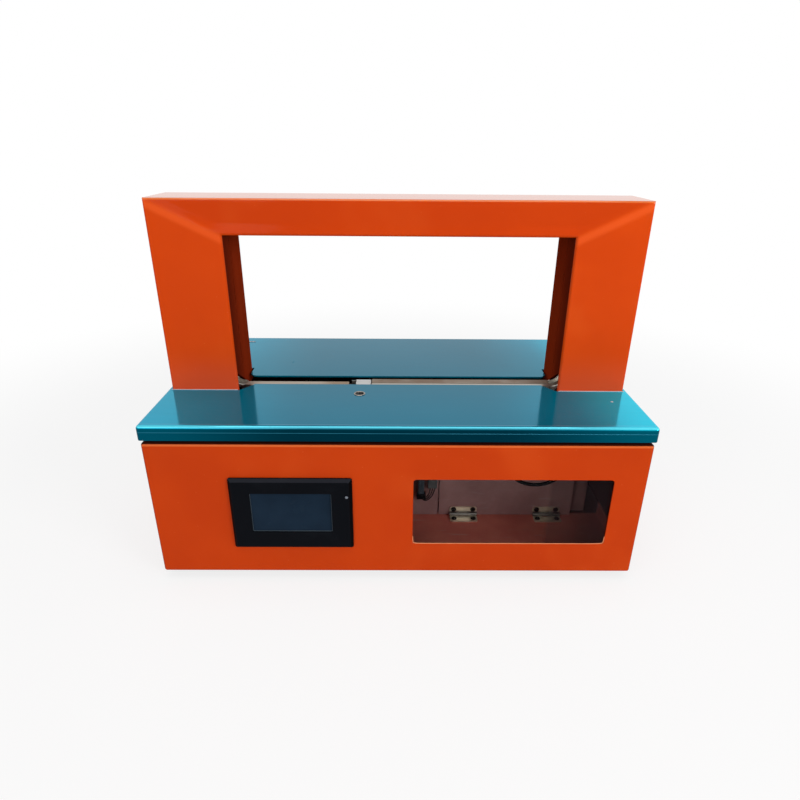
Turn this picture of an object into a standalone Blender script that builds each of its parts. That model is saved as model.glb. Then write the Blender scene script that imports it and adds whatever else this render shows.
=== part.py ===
"""Table-top banknote strapping machine with a tape arch, built as separate pieces.

Metres, +Z up. The front looks along -Y. The origin is under the middle of the machine, on the
surface that its four feet stand on.
"""

import math

import bmesh
import bpy
from mathutils import Matrix, Vector

MM = 0.001

# Clearances shared by all pieces
FIT = 0.3 * MM
SEAM = 0.6 * MM
OVERRUN = 2.0 * MM

# Sheet metal
SHEET = 1.5 * MM
SHEET_BEND = 3.0 * MM
TABLE_SHEET = 2.0 * MM
TABLE_BEND = 4.0 * MM

# Counts
BEND_STEPS = 3
CORNER_STEPS = 4
ROUND_STEPS = 32
SMALL_ROUND_STEPS = 20

# Body
BODY_WIDTH = 575.0 * MM
BODY_DEPTH = 310.0 * MM
BODY_HEIGHT = 178.0 * MM
PANEL_RETURN = 18.0 * MM
BODY_LEFT = -BODY_WIDTH / 2
BODY_RIGHT = BODY_WIDTH / 2
BODY_FRONT = -BODY_DEPTH / 2
BODY_BACK = BODY_DEPTH / 2

# Feet
FOOT_HEIGHT = 12.0 * MM
FOOT_RADIUS = 15.0 * MM
FOOT_TAPER = 2.5 * MM
FOOT_RECESS_RADIUS = 5.0 * MM
FOOT_RECESS_DEPTH = 6.0 * MM
FOOT_INSET = 42.0 * MM
BODY_BOTTOM = FOOT_HEIGHT
BODY_TOP = BODY_BOTTOM + BODY_HEIGHT

# Base tray
TRAY_SHEET = 2.0 * MM
TRAY_FLANGE = 20.0 * MM
TRAY_BOTTOM = BODY_BOTTOM + SHEET + FIT
FLOOR_TOP = TRAY_BOTTOM + TRAY_SHEET

# Table plates
TABLE_CLEAR = 5.0 * MM
SKIRT_HEIGHT = 18.0 * MM
TABLE_OVERHANG = 3.0 * MM
TABLE_SIDE_OVERHANG = 1.0 * MM
TABLE_HALF = BODY_RIGHT + TABLE_SIDE_OVERHANG
TABLE_FRONT = BODY_FRONT - TABLE_OVERHANG
TABLE_BACK = BODY_BACK + TABLE_OVERHANG
SKIRT_BOTTOM = BODY_TOP + TABLE_CLEAR
TABLE_TOP = SKIRT_BOTTOM + SKIRT_HEIGHT
TABLE_UNDER = TABLE_TOP - TABLE_SHEET

# Rails that carry the table plates
RAIL_INSET = 6.0 * MM
RAIL_DEPTH = 18.0 * MM
RAIL_SIDE_GAP = 20.0 * MM

# Arch
ARCH_SETBACK = 100.0 * MM
ARCH_DEPTH = 77.0 * MM
ARCH_RISE = 227.5 * MM
BEAM_HEIGHT = 40.0 * MM
LEG_WIDTH = 83.0 * MM
ARCH_SIDE_STEP = 5.5 * MM
ARCH_FRONT = BODY_FRONT + ARCH_SETBACK
ARCH_BACK = ARCH_FRONT + ARCH_DEPTH
ARCH_MIDDLE = (ARCH_FRONT + ARCH_BACK) / 2
ARCH_HALF = TABLE_HALF - ARCH_SIDE_STEP
OPENING_HALF = ARCH_HALF - LEG_WIDTH
ARCH_TOP = TABLE_TOP + ARCH_RISE
BEAM_UNDER = ARCH_TOP - BEAM_HEIGHT

# Gap between the two table plates, where the tape runs
SLOT_SETBACK = 19.5 * MM
SLOT_WIDTH = 27.5 * MM
SLOT_FRONT = ARCH_FRONT + SLOT_SETBACK
SLOT_BACK = SLOT_FRONT + SLOT_WIDTH
TONGUE_SIDE_GAP = 2.0 * MM
TONGUE_CORNER = 14.8 * MM
REAR_TONGUE_SIDE_GAP = 5.7 * MM
REAR_TONGUE_RADIUS = 6.0 * MM

# Tape tracks in the table
TRACK_DROP = 2.0 * MM
TRACK_HEIGHT = 11.0 * MM
TRACK_FRONT_GAP = 2.0 * MM
TRACK_RAIL_WIDTH = 7.0 * MM
TRACK_GROOVE_WIDTH = 1.6 * MM
TRACK_GROOVE_DEPTH = 1.5 * MM
LEFT_TRACK_WIDTH = 16.5 * MM
RIGHT_TRACK_WIDTH = 21.5 * MM
LEFT_RAIL_WIDTH = 12.0 * MM
TRACK_FRONT = SLOT_FRONT + TRACK_FRONT_GAP
TRACK_TOP = TABLE_TOP - TRACK_DROP
SHELF_TOP = TRACK_TOP - TRACK_HEIGHT - FIT

# Curved guides and the channels inside the arch
GUIDE_RADIUS = 17.0 * MM
LIP_HEIGHT = 3.0 * MM
LIP_SHEET = 1.5 * MM
GUIDE_STEPS = 8
GUIDE_START_GAP = 3.0 * MM
GUIDE_FOOT = 6.0 * MM
TAPE_SLIT = 3.0 * MM
GUIDE_DOOR_RISE = 19.0 * MM
GUIDE_DOOR_SIDE = 1.0 * MM
GUIDE_START = OPENING_HALF - GUIDE_START_GAP
CHANNEL_FACE = GUIDE_START + GUIDE_RADIUS
GUIDE_TOP = TRACK_TOP + GUIDE_RADIUS
UPPER_START = BEAM_UNDER - GUIDE_START_GAP
ARCH_BOTTOM = SHELF_TOP + FIT

# Main plate and arch posts
SHELF_SHEET = 4.0 * MM
WEB_SHEET = 6.0 * MM
WEB_GAP = 0.3 * MM
SHELF_OVERHANG = 4.0 * MM
POST_GAP = 3.0 * MM
POST_SIDE_GAP = 1.5 * MM
POST_FRONT_GAP = 26.0 * MM
POST_BACK_GAP = 8.0 * MM
WEB_FRONT = SLOT_BACK + WEB_GAP
WEB_BACK = WEB_FRONT + WEB_SHEET
SHELF_HALF = OPENING_HALF + SHELF_OVERHANG

# Window
WINDOW_SIDE_MARGIN = 38.3 * MM
WINDOW_WIDTH = 231.6 * MM
WINDOW_SILL = 42.0 * MM
WINDOW_HEIGHT = 90.0 * MM
WINDOW_RADIUS = 3.5 * MM
PANE_SHEET = 2.5 * MM
PANE_LAP = 6.0 * MM
WINDOW_RIGHT = BODY_RIGHT - WINDOW_SIDE_MARGIN
WINDOW_LEFT = WINDOW_RIGHT - WINDOW_WIDTH
WINDOW_BOTTOM = BODY_BOTTOM + WINDOW_SILL
WINDOW_TOP = WINDOW_BOTTOM + WINDOW_HEIGHT

# Touch screen
SCREEN_SIDE_MARGIN = 163.3 * MM
SCREEN_RISE = 89.8 * MM
SCREEN_X = BODY_LEFT + SCREEN_SIDE_MARGIN
SCREEN_Z = BODY_BOTTOM + SCREEN_RISE
BEZEL_SIDE_MARGIN = 13.2 * MM
BEZEL_TOP_MARGIN = 6.2 * MM
BEZEL_BOTTOM_MARGIN = 15.8 * MM
BEZEL_PROUD = 6.0 * MM
BEZEL_CHAMFER = 4.0 * MM
BEZEL_FRONT_WALL = 1.8 * MM
LCD_WIDTH = 94.2 * MM
LCD_HEIGHT = 53.2 * MM
HOUSING_WIDTH = 116.0 * MM
HOUSING_HEIGHT = 72.0 * MM
HOUSING_DEPTH = 38.0 * MM
GLASS_SHEET = 2.0 * MM
LAMP_RADIUS = 1.8 * MM
LAMP_EDGE_GAP = 6.4 * MM
LAMP_TOP_GAP = 20.4 * MM
BEZEL_LEFT = SCREEN_X - HOUSING_WIDTH / 2 - BEZEL_SIDE_MARGIN
BEZEL_RIGHT = SCREEN_X + HOUSING_WIDTH / 2 + BEZEL_SIDE_MARGIN
BEZEL_BOTTOM = SCREEN_Z - HOUSING_HEIGHT / 2 - BEZEL_BOTTOM_MARGIN
BEZEL_TOP = SCREEN_Z + HOUSING_HEIGHT / 2 + BEZEL_TOP_MARGIN
BEZEL_FRONT = BODY_FRONT - BEZEL_PROUD
GLASS_FRONT = BEZEL_FRONT + BEZEL_FRONT_WALL + FIT
HOUSING_FRONT = GLASS_FRONT + GLASS_SHEET + FIT

# Start sensor in the table
SENSOR_X = -48.0 * MM
SENSOR_SETBACK = 89.0 * MM
SENSOR_Y = BODY_FRONT + SENSOR_SETBACK
RING_RADIUS = 7.5 * MM
RING_HEIGHT = 0.8 * MM
RING_BARREL_RADIUS = 6.0 * MM
RING_BARREL_DEPTH = 12.0 * MM
RING_BORE_RADIUS = 5.0 * MM
SENSOR_RECESS = 1.5 * MM
SENSOR_LENGTH = 18.0 * MM

# Folding inner flap, its two hinges and the fixed divider beside it
FLAP_SHEET = 1.5 * MM
FLAP_SETBACK = 115.6 * MM
FLAP_LEFT_GAP = 40.4 * MM
FLAP_RIGHT_GAP = 5.2 * MM
FLAP_LENGTH = 104.5 * MM
FLAP_SIDE_GAP = 1.5 * MM
DIVIDER_LEFT_GAP = 25.6 * MM
FLAP_FRONT = BODY_FRONT + FLAP_SETBACK
FLAP_LEFT = WINDOW_LEFT + FLAP_LEFT_GAP
FLAP_RIGHT = WINDOW_RIGHT - FLAP_RIGHT_GAP
LEAF_WIDTH = 38.0 * MM
LEAF_REACH = 15.5 * MM
LEAF_SHEET = 1.2 * MM
KNUCKLE_RADIUS = 2.9 * MM
KNUCKLE_WIDTH = 12.6 * MM
HINGE_PIN_RADIUS = 1.2 * MM
HINGE_INSET = 34.5 * MM
HINGE_Y = FLAP_FRONT - FIT - KNUCKLE_RADIUS
HINGE_Z = FLOOR_TOP + FIT + KNUCKLE_RADIUS
SWITCH_WIDTH = 26.0 * MM
SWITCH_DEPTH = 14.0 * MM
SWITCH_HEIGHT = 20.0 * MM
SWITCH_RISE = 70.0 * MM
SWITCH_LEVER = 5.0 * MM

# Sealing head under the slot
HEAD_WIDTH = 61.0 * MM
HEAD_X = -45.5 * MM
HEAD_HEIGHT = 75.0 * MM
HEAD_FRONT_REACH = 22.0 * MM
HEAD_CHEEK = 15.0 * MM
HEAD_CAVITY_HEIGHT = 27.0 * MM
HEAD_TABLE_GAP = 0.8 * MM
ANVIL_WIDTH = 19.5 * MM
ANVIL_HEIGHT = 5.0 * MM
ANVIL_FRONT_LAP = 0.5 * MM
ANVIL_BACK_GAP = 3.5 * MM
STOP_WIDTH = 5.0 * MM
STOP_DEPTH = 3.0 * MM
STOP_GAP = 1.0 * MM
STOP_DROP = 1.5 * MM
NOTCH_WIDTH = 9.0 * MM
PRESS_WIDTH = 6.6 * MM
BLADE_DROP = 0.5 * MM
BLADE_FRONT_GAP = 1.2 * MM
HEAD_LEFT = HEAD_X - HEAD_WIDTH / 2
HEAD_RIGHT = HEAD_X + HEAD_WIDTH / 2
HEAD_FRONT = SLOT_FRONT - HEAD_FRONT_REACH
HEAD_BACK = WEB_FRONT - FIT
HEAD_TOP = TABLE_UNDER - HEAD_TABLE_GAP
HEAD_BOTTOM = HEAD_TOP - HEAD_HEIGHT
ANVIL_TOP = HEAD_TOP
ANVIL_BOTTOM = ANVIL_TOP - ANVIL_HEIGHT
ANVIL_LEFT = HEAD_X - ANVIL_WIDTH / 2
ANVIL_RIGHT = HEAD_X + ANVIL_WIDTH / 2
ANVIL_FRONT = SLOT_FRONT - ANVIL_FRONT_LAP
ANVIL_BACK = SLOT_BACK - ANVIL_BACK_GAP
HEAD_STEP = SLOT_FRONT + FIT
HEAD_LOW_TOP = SHELF_TOP - FIT

# Cam shaft and the three blades that it lifts
CAM_LIFT = 4.2 * MM
CAM_BASE_RADIUS = 8.5 * MM
CAM_RISE_TURN = math.pi / 2
CAM_DWELL_TURN = math.radians(12.0)
CAM_STEP_TURN = math.radians(7.5)
CAM_CLEARANCE = 0.7 * MM
CAM_SIDE_CLEARANCE = 0.6 * MM
CAM_SHAFT_RADIUS = 4.0 * MM
CAM_SHAFT_INSET = 1.5 * MM
CAM_SHAFT_REACH = 6.5 * MM
CAM_DROP = 17.0 * MM
BLADE_BACK = ANVIL_BACK - FIT
BLADE_FRONT = TRACK_FRONT + BLADE_FRONT_GAP
BLADE_TOP = ANVIL_BOTTOM - CAM_LIFT - BLADE_DROP
CAM_Y = (BLADE_FRONT + BLADE_BACK) / 2
CAM_Z = HEAD_BOTTOM + CAM_DROP
BLADE_BOTTOM = CAM_Z + CAM_BASE_RADIUS + CAM_CLEARANCE

# Cam motor
CAM_MOTOR_RADIUS = 13.5 * MM
CAM_MOTOR_LENGTH = 60.0 * MM
CAM_MOTOR_COLLAR_RADIUS = 9.0 * MM
CAM_MOTOR_COLLAR = 4.0 * MM
MOTOR_BORE_DEPTH = 10.0 * MM

# Tape feed
FEED_GAP = 20.0 * MM
DRIVE_RADIUS = 15.0 * MM
PINCH_RADIUS = 10.0 * MM
FEED_DROP = 26.0 * MM
FEED_ROLLER_BACK_GAP = 6.0 * MM
FEED_ROLLER_WIDTH = 18.0 * MM
FEED_SHAFT_RADIUS = 4.0 * MM
FEED_SHAFT_REACH = 9.0 * MM
FEED_MOTOR_RADIUS = 22.0 * MM
FEED_MOTOR_LENGTH = 56.0 * MM
DRIVE_X = HEAD_LEFT - FEED_GAP - DRIVE_RADIUS
PINCH_X = DRIVE_X - DRIVE_RADIUS - PINCH_RADIUS - FIT
FEED_Z = SHELF_TOP - SHELF_SHEET - FEED_DROP
FEED_ROLLER_BACK = WEB_FRONT - FEED_ROLLER_BACK_GAP

# Tape reel behind the main plate
REEL_RADIUS = 70.0 * MM
REEL_HUB_RADIUS = 25.0 * MM
REEL_FLANGE = 2.0 * MM
REEL_WIDTH = 26.0 * MM
REEL_FLOOR_GAP = 9.0 * MM
REEL_X = 130.0 * MM
REEL_STAND_OFF = 20.0 * MM
SPINDLE_RADIUS = 8.0 * MM
SPINDLE_FLANGE_RADIUS = 15.0 * MM
SPINDLE_FLANGE = 4.0 * MM
SPINDLE_OVERREACH = 5.0 * MM
SPINDLE_COLLAR_RADIUS = 12.0 * MM
REEL_Z = FLOOR_TOP + REEL_FLOOR_GAP + REEL_RADIUS
REEL_FRONT = WEB_BACK + REEL_STAND_OFF

# Power supply and control board
SUPPLY_WIDTH = 105.0 * MM
SUPPLY_DEPTH = 78.0 * MM
SUPPLY_HEIGHT = 42.0 * MM
SUPPLY_X = -140.0 * MM
SUPPLY_WALL_GAP = 16.0 * MM
SUPPLY_BEVEL = 1.5 * MM
BOARD_WIDTH = 110.0 * MM
BOARD_DEPTH = 78.0 * MM
BOARD_SHEET = 1.6 * MM
BOARD_X = -15.0 * MM
STAND_OFF_HEIGHT = 8.0 * MM
STAND_OFF_RADIUS = 3.0 * MM
STAND_OFF_INSET = 6.0 * MM
RELAY_HEIGHT = 16.0 * MM
CHIP_HEIGHT = 3.0 * MM
TERMINAL_HEIGHT = 11.0 * MM

# Power inlet with its switch in the rear panel
INLET_X = 225.0 * MM
INLET_RISE = 62.0 * MM
INLET_WIDTH = 28.0 * MM
INLET_HEIGHT = 47.0 * MM
INLET_DEPTH = 30.0 * MM
INLET_RIM = 4.0 * MM
INLET_FLANGE = 3.0 * MM
SOCKET_WIDTH = 23.5 * MM
SOCKET_HEIGHT = 16.5 * MM
SOCKET_DEPTH = 16.0 * MM
SOCKET_DROP = 12.0 * MM
PIN_WIDTH = 2.0 * MM
PIN_HEIGHT = 4.0 * MM
PIN_LENGTH = 13.0 * MM
PIN_PITCH = 7.0 * MM
PIN_RAISE = 2.0 * MM
ROCKER_WIDTH = 13.0 * MM
ROCKER_HALF = 8.6 * MM
ROCKER_RISE = 12.5 * MM
ROCKER_FACE = 3.2 * MM
ROCKER_VALLEY = 1.6 * MM
ROCKER_KEEL = 4.5 * MM
ROCKER_KEEL_HALF = 3.5 * MM
ROCKER_WELL_DEPTH = 9.0 * MM
ROCKER_END_GAP = 0.7 * MM
ROCKER_THROW = math.radians(14.0)
INLET_Z = BODY_BOTTOM + INLET_RISE
FLANGE_BACK = BODY_BACK + FIT + INLET_FLANGE
ROCKER_REACH = ROCKER_FACE * math.cos(ROCKER_THROW / 2) + ROCKER_HALF * math.sin(ROCKER_THROW / 2)
ROCKER_Y = BODY_BACK + BEZEL_PROUD - ROCKER_REACH
ROCKER_Z = INLET_Z + ROCKER_RISE

# Cooling slots
VENT_WIDTH = 4.0 * MM
VENT_LENGTH = 46.0 * MM
VENT_PITCH = 11.0 * MM
SIDE_VENTS = 9
REAR_VENTS = 12
SIDE_VENT_Y = 70.0 * MM
REAR_VENT_X = -110.0 * MM
VENT_RISE = 95.0 * MM

# Finishes: sRGB colour, roughness, metallic
FINISHES = {
    "orange coat": ((200, 66, 18), 0.32, 0.0),
    "blue film": ((50, 128, 158), 0.25, 0.6),
    "steel": ((150, 146, 140), 0.35, 1.0),
    "worn steel": ((168, 158, 140), 0.4, 1.0),
    "zinc sheet": ((112, 100, 98), 0.45, 0.7),
    "red floor": ((116, 56, 46), 0.45, 0.2),
    "black plastic": ((14, 16, 20), 0.4, 0.0),
    "screen glass": ((30, 46, 62), 0.12, 0.0),
    "lamp lens": ((190, 195, 200), 0.3, 0.0),
    "smoked acrylic": ((60, 30, 30), 0.08, 0.0),
    "white nylon": ((232, 232, 230), 0.45, 0.0),
    "rubber": ((22, 22, 22), 0.8, 0.0),
    "hinge nickel": ((176, 166, 148), 0.35, 1.0),
    "motor black": ((28, 28, 30), 0.5, 0.3),
    "circuit board": ((20, 84, 52), 0.45, 0.0),
    "reel board": ((196, 172, 132), 0.75, 0.0),
    "dark lens": ((12, 20, 34), 0.15, 0.0),
}

AXIS_TURNS = {
    "X": Matrix(((0, 0, 1), (1, 0, 0), (0, 1, 0))),
    "Y": Matrix(((1, 0, 0), (0, 0, -1), (0, 1, 0))),
    "Z": Matrix.Identity(3),
}
SIDES = {
    "left": (0, -1),
    "right": (0, 1),
    "front": (1, -1),
    "back": (1, 1),
    "bottom": (2, -1),
    "top": (2, 1),
}


# Scene and collections

def clear_scene():
    for item in list(bpy.data.objects):
        bpy.data.objects.remove(item, do_unlink=True)


def make_collection(name):
    collection = bpy.data.collections.new(name)
    bpy.context.scene.collection.children.link(collection)
    return collection


clear_scene()
PARTS = make_collection("banknote strapping machine")
TOOLS = make_collection("cutters")


def linear(channel):
    share = channel / 255
    if share <= 0.04045:
        return share / 12.92
    return ((share + 0.055) / 1.055) ** 2.4


def paint(item, finish):
    """Give the object its own Principled material in one of the listed finishes."""
    colour, roughness, metallic = FINISHES[finish]
    material = bpy.data.materials.new(f"{item.name} {finish}")
    material.use_nodes = True
    shader = material.node_tree.nodes["Principled BSDF"]
    shader.inputs["Base Color"].default_value = [linear(value) for value in colour] + [1.0]
    shader.inputs["Roughness"].default_value = roughness
    shader.inputs["Metallic"].default_value = metallic
    item.data.materials.clear()
    item.data.materials.append(material)


def place(name, mesh, finish=None):
    """Link a mesh as a named part, or as a hidden tool when it has no finish."""
    item = bpy.data.objects.new(name, mesh)
    if finish is None:
        TOOLS.objects.link(item)
        item.hide_render = True
        item.display_type = "WIRE"
    else:
        PARTS.objects.link(item)
        paint(item, finish)
    return item


# Shape helpers

def box_bmesh(low, high):
    shape = bmesh.new()
    bmesh.ops.create_cube(shape, size=1.0)
    low = Vector(low)
    high = Vector(high)
    for vert in shape.verts:
        unit = vert.co + Vector((0.5, 0.5, 0.5))
        vert.co = low + Vector(unit[i] * (high[i] - low[i]) for i in range(3))
    return shape


def finish_bmesh(name, shape):
    mesh = bpy.data.meshes.new(name)
    shape.to_mesh(mesh)
    shape.free()
    return mesh


def box(name, low, high, finish=None, bevel=0.0):
    """Box between two corners, with its edges bevelled where bevel is given."""
    item = place(name, finish_bmesh(name, box_bmesh(low, high)), finish)
    if bevel:
        edge = item.modifiers.new("edge", "BEVEL")
        edge.width = bevel
        edge.segments = 2
    return item


def shell(name, low, high, sides, thickness, bend, finish):
    """Folded sheet: the named sides of a box, bent where they meet, thickened inwards."""
    shape = box_bmesh(low, high)
    kept = [SIDES[side] for side in sides]
    spare = []
    for face in shape.faces:
        axis = max(range(3), key=lambda i: abs(face.normal[i]))
        if (axis, int(math.copysign(1, face.normal[axis]))) not in kept:
            spare.append(face)
    bmesh.ops.delete(shape, geom=spare, context="FACES")
    folds = [edge for edge in shape.edges if len(edge.link_faces) == 2]
    bmesh.ops.bevel(shape, geom=folds, offset=bend, offset_type="OFFSET", segments=BEND_STEPS,
                    profile=0.5, affect="EDGES", clamp_overlap=True)
    item = place(name, finish_bmesh(name, shape), finish)
    sheet = item.modifiers.new("sheet", "SOLIDIFY")
    sheet.thickness = thickness
    sheet.offset = -1.0
    sheet.use_even_offset = True
    return item


def prism(name, outline, axis, start, end, finish=None):
    """Flat outline extruded along an axis; outline pairs are the other two axes in order."""
    curve = bpy.data.curves.new(name, "CURVE")
    curve.dimensions = "2D"
    curve.fill_mode = "BOTH"
    curve.extrude = abs(end - start) / 2
    spline = curve.splines.new("POLY")
    spline.points.add(len(outline) - 1)
    for point, (across, up) in zip(spline.points, outline):
        point.co = (across, up, 0.0, 1.0)
    spline.use_cyclic_u = True
    guide = bpy.data.objects.new(name + " outline", curve)
    TOOLS.objects.link(guide)
    turn = AXIS_TURNS[axis].to_4x4()
    middle = Vector([(start + end) / 2 if letter == axis else 0.0 for letter in "XYZ"])
    guide.matrix_world = Matrix.Translation(middle) @ turn
    bpy.context.view_layer.update()
    graph = bpy.context.evaluated_depsgraph_get()
    mesh = bpy.data.meshes.new_from_object(guide.evaluated_get(graph))
    shape = bmesh.new()
    shape.from_mesh(mesh)
    bmesh.ops.remove_doubles(shape, verts=shape.verts, dist=FIT / 100)
    bmesh.ops.recalc_face_normals(shape, faces=shape.faces)
    shape.to_mesh(mesh)
    shape.free()
    item = place(name, mesh, finish)
    item.matrix_world = guide.matrix_world
    bpy.data.objects.remove(guide, do_unlink=True)
    return item


def rounded(corners):
    """Outline with an arc at each (across, up, radius) corner."""
    points = []
    count = len(corners)
    for index, (across, up, radius) in enumerate(corners):
        corner = Vector((across, up))
        if not radius:
            points.append(tuple(corner))
            continue
        before = (Vector(corners[index - 1][:2]) - corner).normalized()
        after = (Vector(corners[(index + 1) % count][:2]) - corner).normalized()
        half = before.angle(after) / 2
        centre = corner + (before + after).normalized() * (radius / math.sin(half))
        first = corner + before * (radius / math.tan(half)) - centre
        last = corner + after * (radius / math.tan(half)) - centre
        start = math.atan2(first.y, first.x)
        sweep = math.atan2(last.y, last.x) - start
        sweep = (sweep + math.pi) % math.tau - math.pi
        for step in range(CORNER_STEPS + 1):
            angle = start + sweep * step / CORNER_STEPS
            points.append((centre.x + radius * math.cos(angle), centre.y + radius * math.sin(angle)))
    return points


def rectangle(low, high, radius=0.0):
    return rounded([(low[0], low[1], radius), (high[0], low[1], radius),
                    (high[0], high[1], radius), (low[0], high[1], radius)])


def cylinder(name, radius, axis, start, end, centre, finish=None, steps=ROUND_STEPS):
    """Cylinder from start to end along an axis; centre holds the other two coordinates."""
    shape = bmesh.new()
    bmesh.ops.create_cone(shape, cap_ends=True, segments=steps, radius1=radius, radius2=radius,
                          depth=abs(end - start))
    item = place(name, finish_bmesh(name, shape), finish)
    across = iter(centre)
    item.location = [(start + end) / 2 if letter == axis else next(across) for letter in "XYZ"]
    item.rotation_euler = AXIS_TURNS[axis].to_euler()
    smooth(item)
    return item


def turned(name, profile, axis, location, finish=None, ring=False, steps=ROUND_STEPS):
    """Turned piece: (radius, height) points down the outside, closed into a ring if asked."""
    mesh = bpy.data.meshes.new(name)
    points = [(radius, 0.0, height) for radius, height in profile]
    edges = [(i, i + 1) for i in range(len(points) - 1)]
    if ring:
        edges.append((len(points) - 1, 0))
    mesh.from_pydata(points, edges, [])
    item = place(name, mesh, finish)
    item.location = location
    item.rotation_euler = AXIS_TURNS[axis].to_euler()
    screw = item.modifiers.new("turn", "SCREW")
    screw.steps = steps
    screw.render_steps = steps
    screw.use_merge_vertices = True
    screw.merge_threshold = FIT / 100
    screw.use_smooth_shade = True
    return item


def smooth(item):
    item.data.shade_smooth()
    item.data.set_sharp_from_angle(angle=math.radians(35.0))


def cut(item, *tools):
    for tool in tools:
        step = item.modifiers.new("cut", "BOOLEAN")
        step.operation = "DIFFERENCE"
        step.solver = "EXACT"
        step.object = tool


def join(item, *tools):
    for tool in tools:
        step = item.modifiers.new("join", "BOOLEAN")
        step.operation = "UNION"
        step.solver = "EXACT"
        step.object = tool


def set_origin(item, point):
    """Move an object's origin to a point without moving its shape."""
    inverse = item.matrix_world.inverted()
    item.data.transform(Matrix.Translation(-(inverse @ Vector(point))))
    item.location = point


# Body

def base_tray():
    half = BODY_RIGHT - SHEET - FIT
    depth = BODY_BACK - SHEET - FIT
    shell("base_tray", (-half, -depth, TRAY_BOTTOM), (half, depth, TRAY_BOTTOM + TRAY_FLANGE),
          ("bottom", "left", "right", "front", "back"), TRAY_SHEET, SHEET_BEND, "red floor")


def feet():
    top = TRAY_BOTTOM - FIT
    profile = [(0.0, top), (FOOT_RADIUS, top), (FOOT_RADIUS - FOOT_TAPER, 0.0),
               (FOOT_RECESS_RADIUS, 0.0), (FOOT_RECESS_RADIUS, FOOT_RECESS_DEPTH),
               (0.0, FOOT_RECESS_DEPTH)]
    for depth_word, y in (("front", BODY_FRONT + FOOT_INSET), ("rear", BODY_BACK - FOOT_INSET)):
        for side_word, x in (("left", BODY_LEFT + FOOT_INSET), ("right", BODY_RIGHT - FOOT_INSET)):
            turned(f"foot_{depth_word}_{side_word}", profile, "Z", (x, y, 0.0), "rubber",
                   steps=SMALL_ROUND_STEPS)


def front_panel():
    panel = shell("front_panel", (BODY_LEFT, BODY_FRONT, BODY_BOTTOM),
                  (BODY_RIGHT, BODY_FRONT + PANEL_RETURN, BODY_TOP),
                  ("front", "left", "right", "top", "bottom"), SHEET, SHEET_BEND, "orange coat")
    window = prism("window cutter", rectangle((WINDOW_LEFT, WINDOW_BOTTOM), (WINDOW_RIGHT, WINDOW_TOP),
                                              WINDOW_RADIUS),
                   "Y", BODY_FRONT - OVERRUN, BODY_FRONT + SHEET + OVERRUN)
    half_width = HOUSING_WIDTH / 2 + FIT
    half_height = HOUSING_HEIGHT / 2 + FIT
    screen = box("screen cutter",
                 (SCREEN_X - half_width, BODY_FRONT - OVERRUN, SCREEN_Z - half_height),
                 (SCREEN_X + half_width, BODY_FRONT + SHEET + OVERRUN, SCREEN_Z + half_height))
    cut(panel, window, screen)


def vent_tool(name, axis, centre, count, start, end):
    """Row of upright slots as one cutter."""
    low = BODY_BOTTOM + VENT_RISE - VENT_LENGTH / 2
    shapes = bmesh.new()
    for index in range(count):
        across = centre + (index - (count - 1) / 2) * VENT_PITCH
        slot = prism(name, rectangle((across - VENT_WIDTH / 2, low),
                                     (across + VENT_WIDTH / 2, low + VENT_LENGTH)),
                     axis, start, end)
        slot.data.transform(slot.matrix_world)
        shapes.from_mesh(slot.data)
        bpy.data.objects.remove(slot, do_unlink=True)
    return place(name, finish_bmesh(name, shapes))


def rear_panel():
    panel = shell("rear_panel", (BODY_LEFT, BODY_BACK - PANEL_RETURN, BODY_BOTTOM),
                  (BODY_RIGHT, BODY_BACK, BODY_TOP),
                  ("back", "left", "right", "top", "bottom"), SHEET, SHEET_BEND, "orange coat")
    vents = vent_tool("rear vent cutter", "Y", REAR_VENT_X, REAR_VENTS,
                      BODY_BACK - SHEET - OVERRUN, BODY_BACK + OVERRUN)
    half_width = INLET_WIDTH / 2 + FIT
    half_height = INLET_HEIGHT / 2 + FIT
    inlet = box("inlet cutter",
                (INLET_X - half_width, BODY_BACK - SHEET - OVERRUN, INLET_Z - half_height),
                (INLET_X + half_width, BODY_BACK + OVERRUN, INLET_Z + half_height))
    cut(panel, vents, inlet)


def side_panels():
    front = BODY_FRONT + PANEL_RETURN + SEAM
    back = BODY_BACK - PANEL_RETURN - SEAM
    for name, outer, inner, side in (
            ("left_side_panel", BODY_LEFT, BODY_LEFT + PANEL_RETURN, "left"),
            ("right_side_panel", BODY_RIGHT, BODY_RIGHT - PANEL_RETURN, "right")):
        panel = shell(name, (min(outer, inner), front, BODY_BOTTOM), (max(outer, inner), back, BODY_TOP),
                      (side, "top", "bottom"), SHEET, SHEET_BEND, "orange coat")
        vents = vent_tool(f"{name} vent cutter", "X", SIDE_VENT_Y, SIDE_VENTS,
                          min(outer, inner) - OVERRUN, max(outer, inner) + OVERRUN)
        cut(panel, vents)


# Table

def table_rails():
    bottom = BODY_TOP + FIT
    top = TABLE_UNDER - FIT
    left = BODY_LEFT + RAIL_SIDE_GAP
    right = BODY_RIGHT - RAIL_SIDE_GAP
    near = BODY_FRONT + RAIL_INSET
    far = BODY_BACK - RAIL_INSET
    shell("front_table_rail", (left, near, bottom), (right, near + RAIL_DEPTH, top),
          ("front", "top", "bottom"), TABLE_SHEET, SHEET_BEND, "motor black")
    shell("rear_table_rail", (left, far - RAIL_DEPTH, bottom), (right, far, top),
          ("back", "top", "bottom"), TABLE_SHEET, SHEET_BEND, "motor black")


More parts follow.
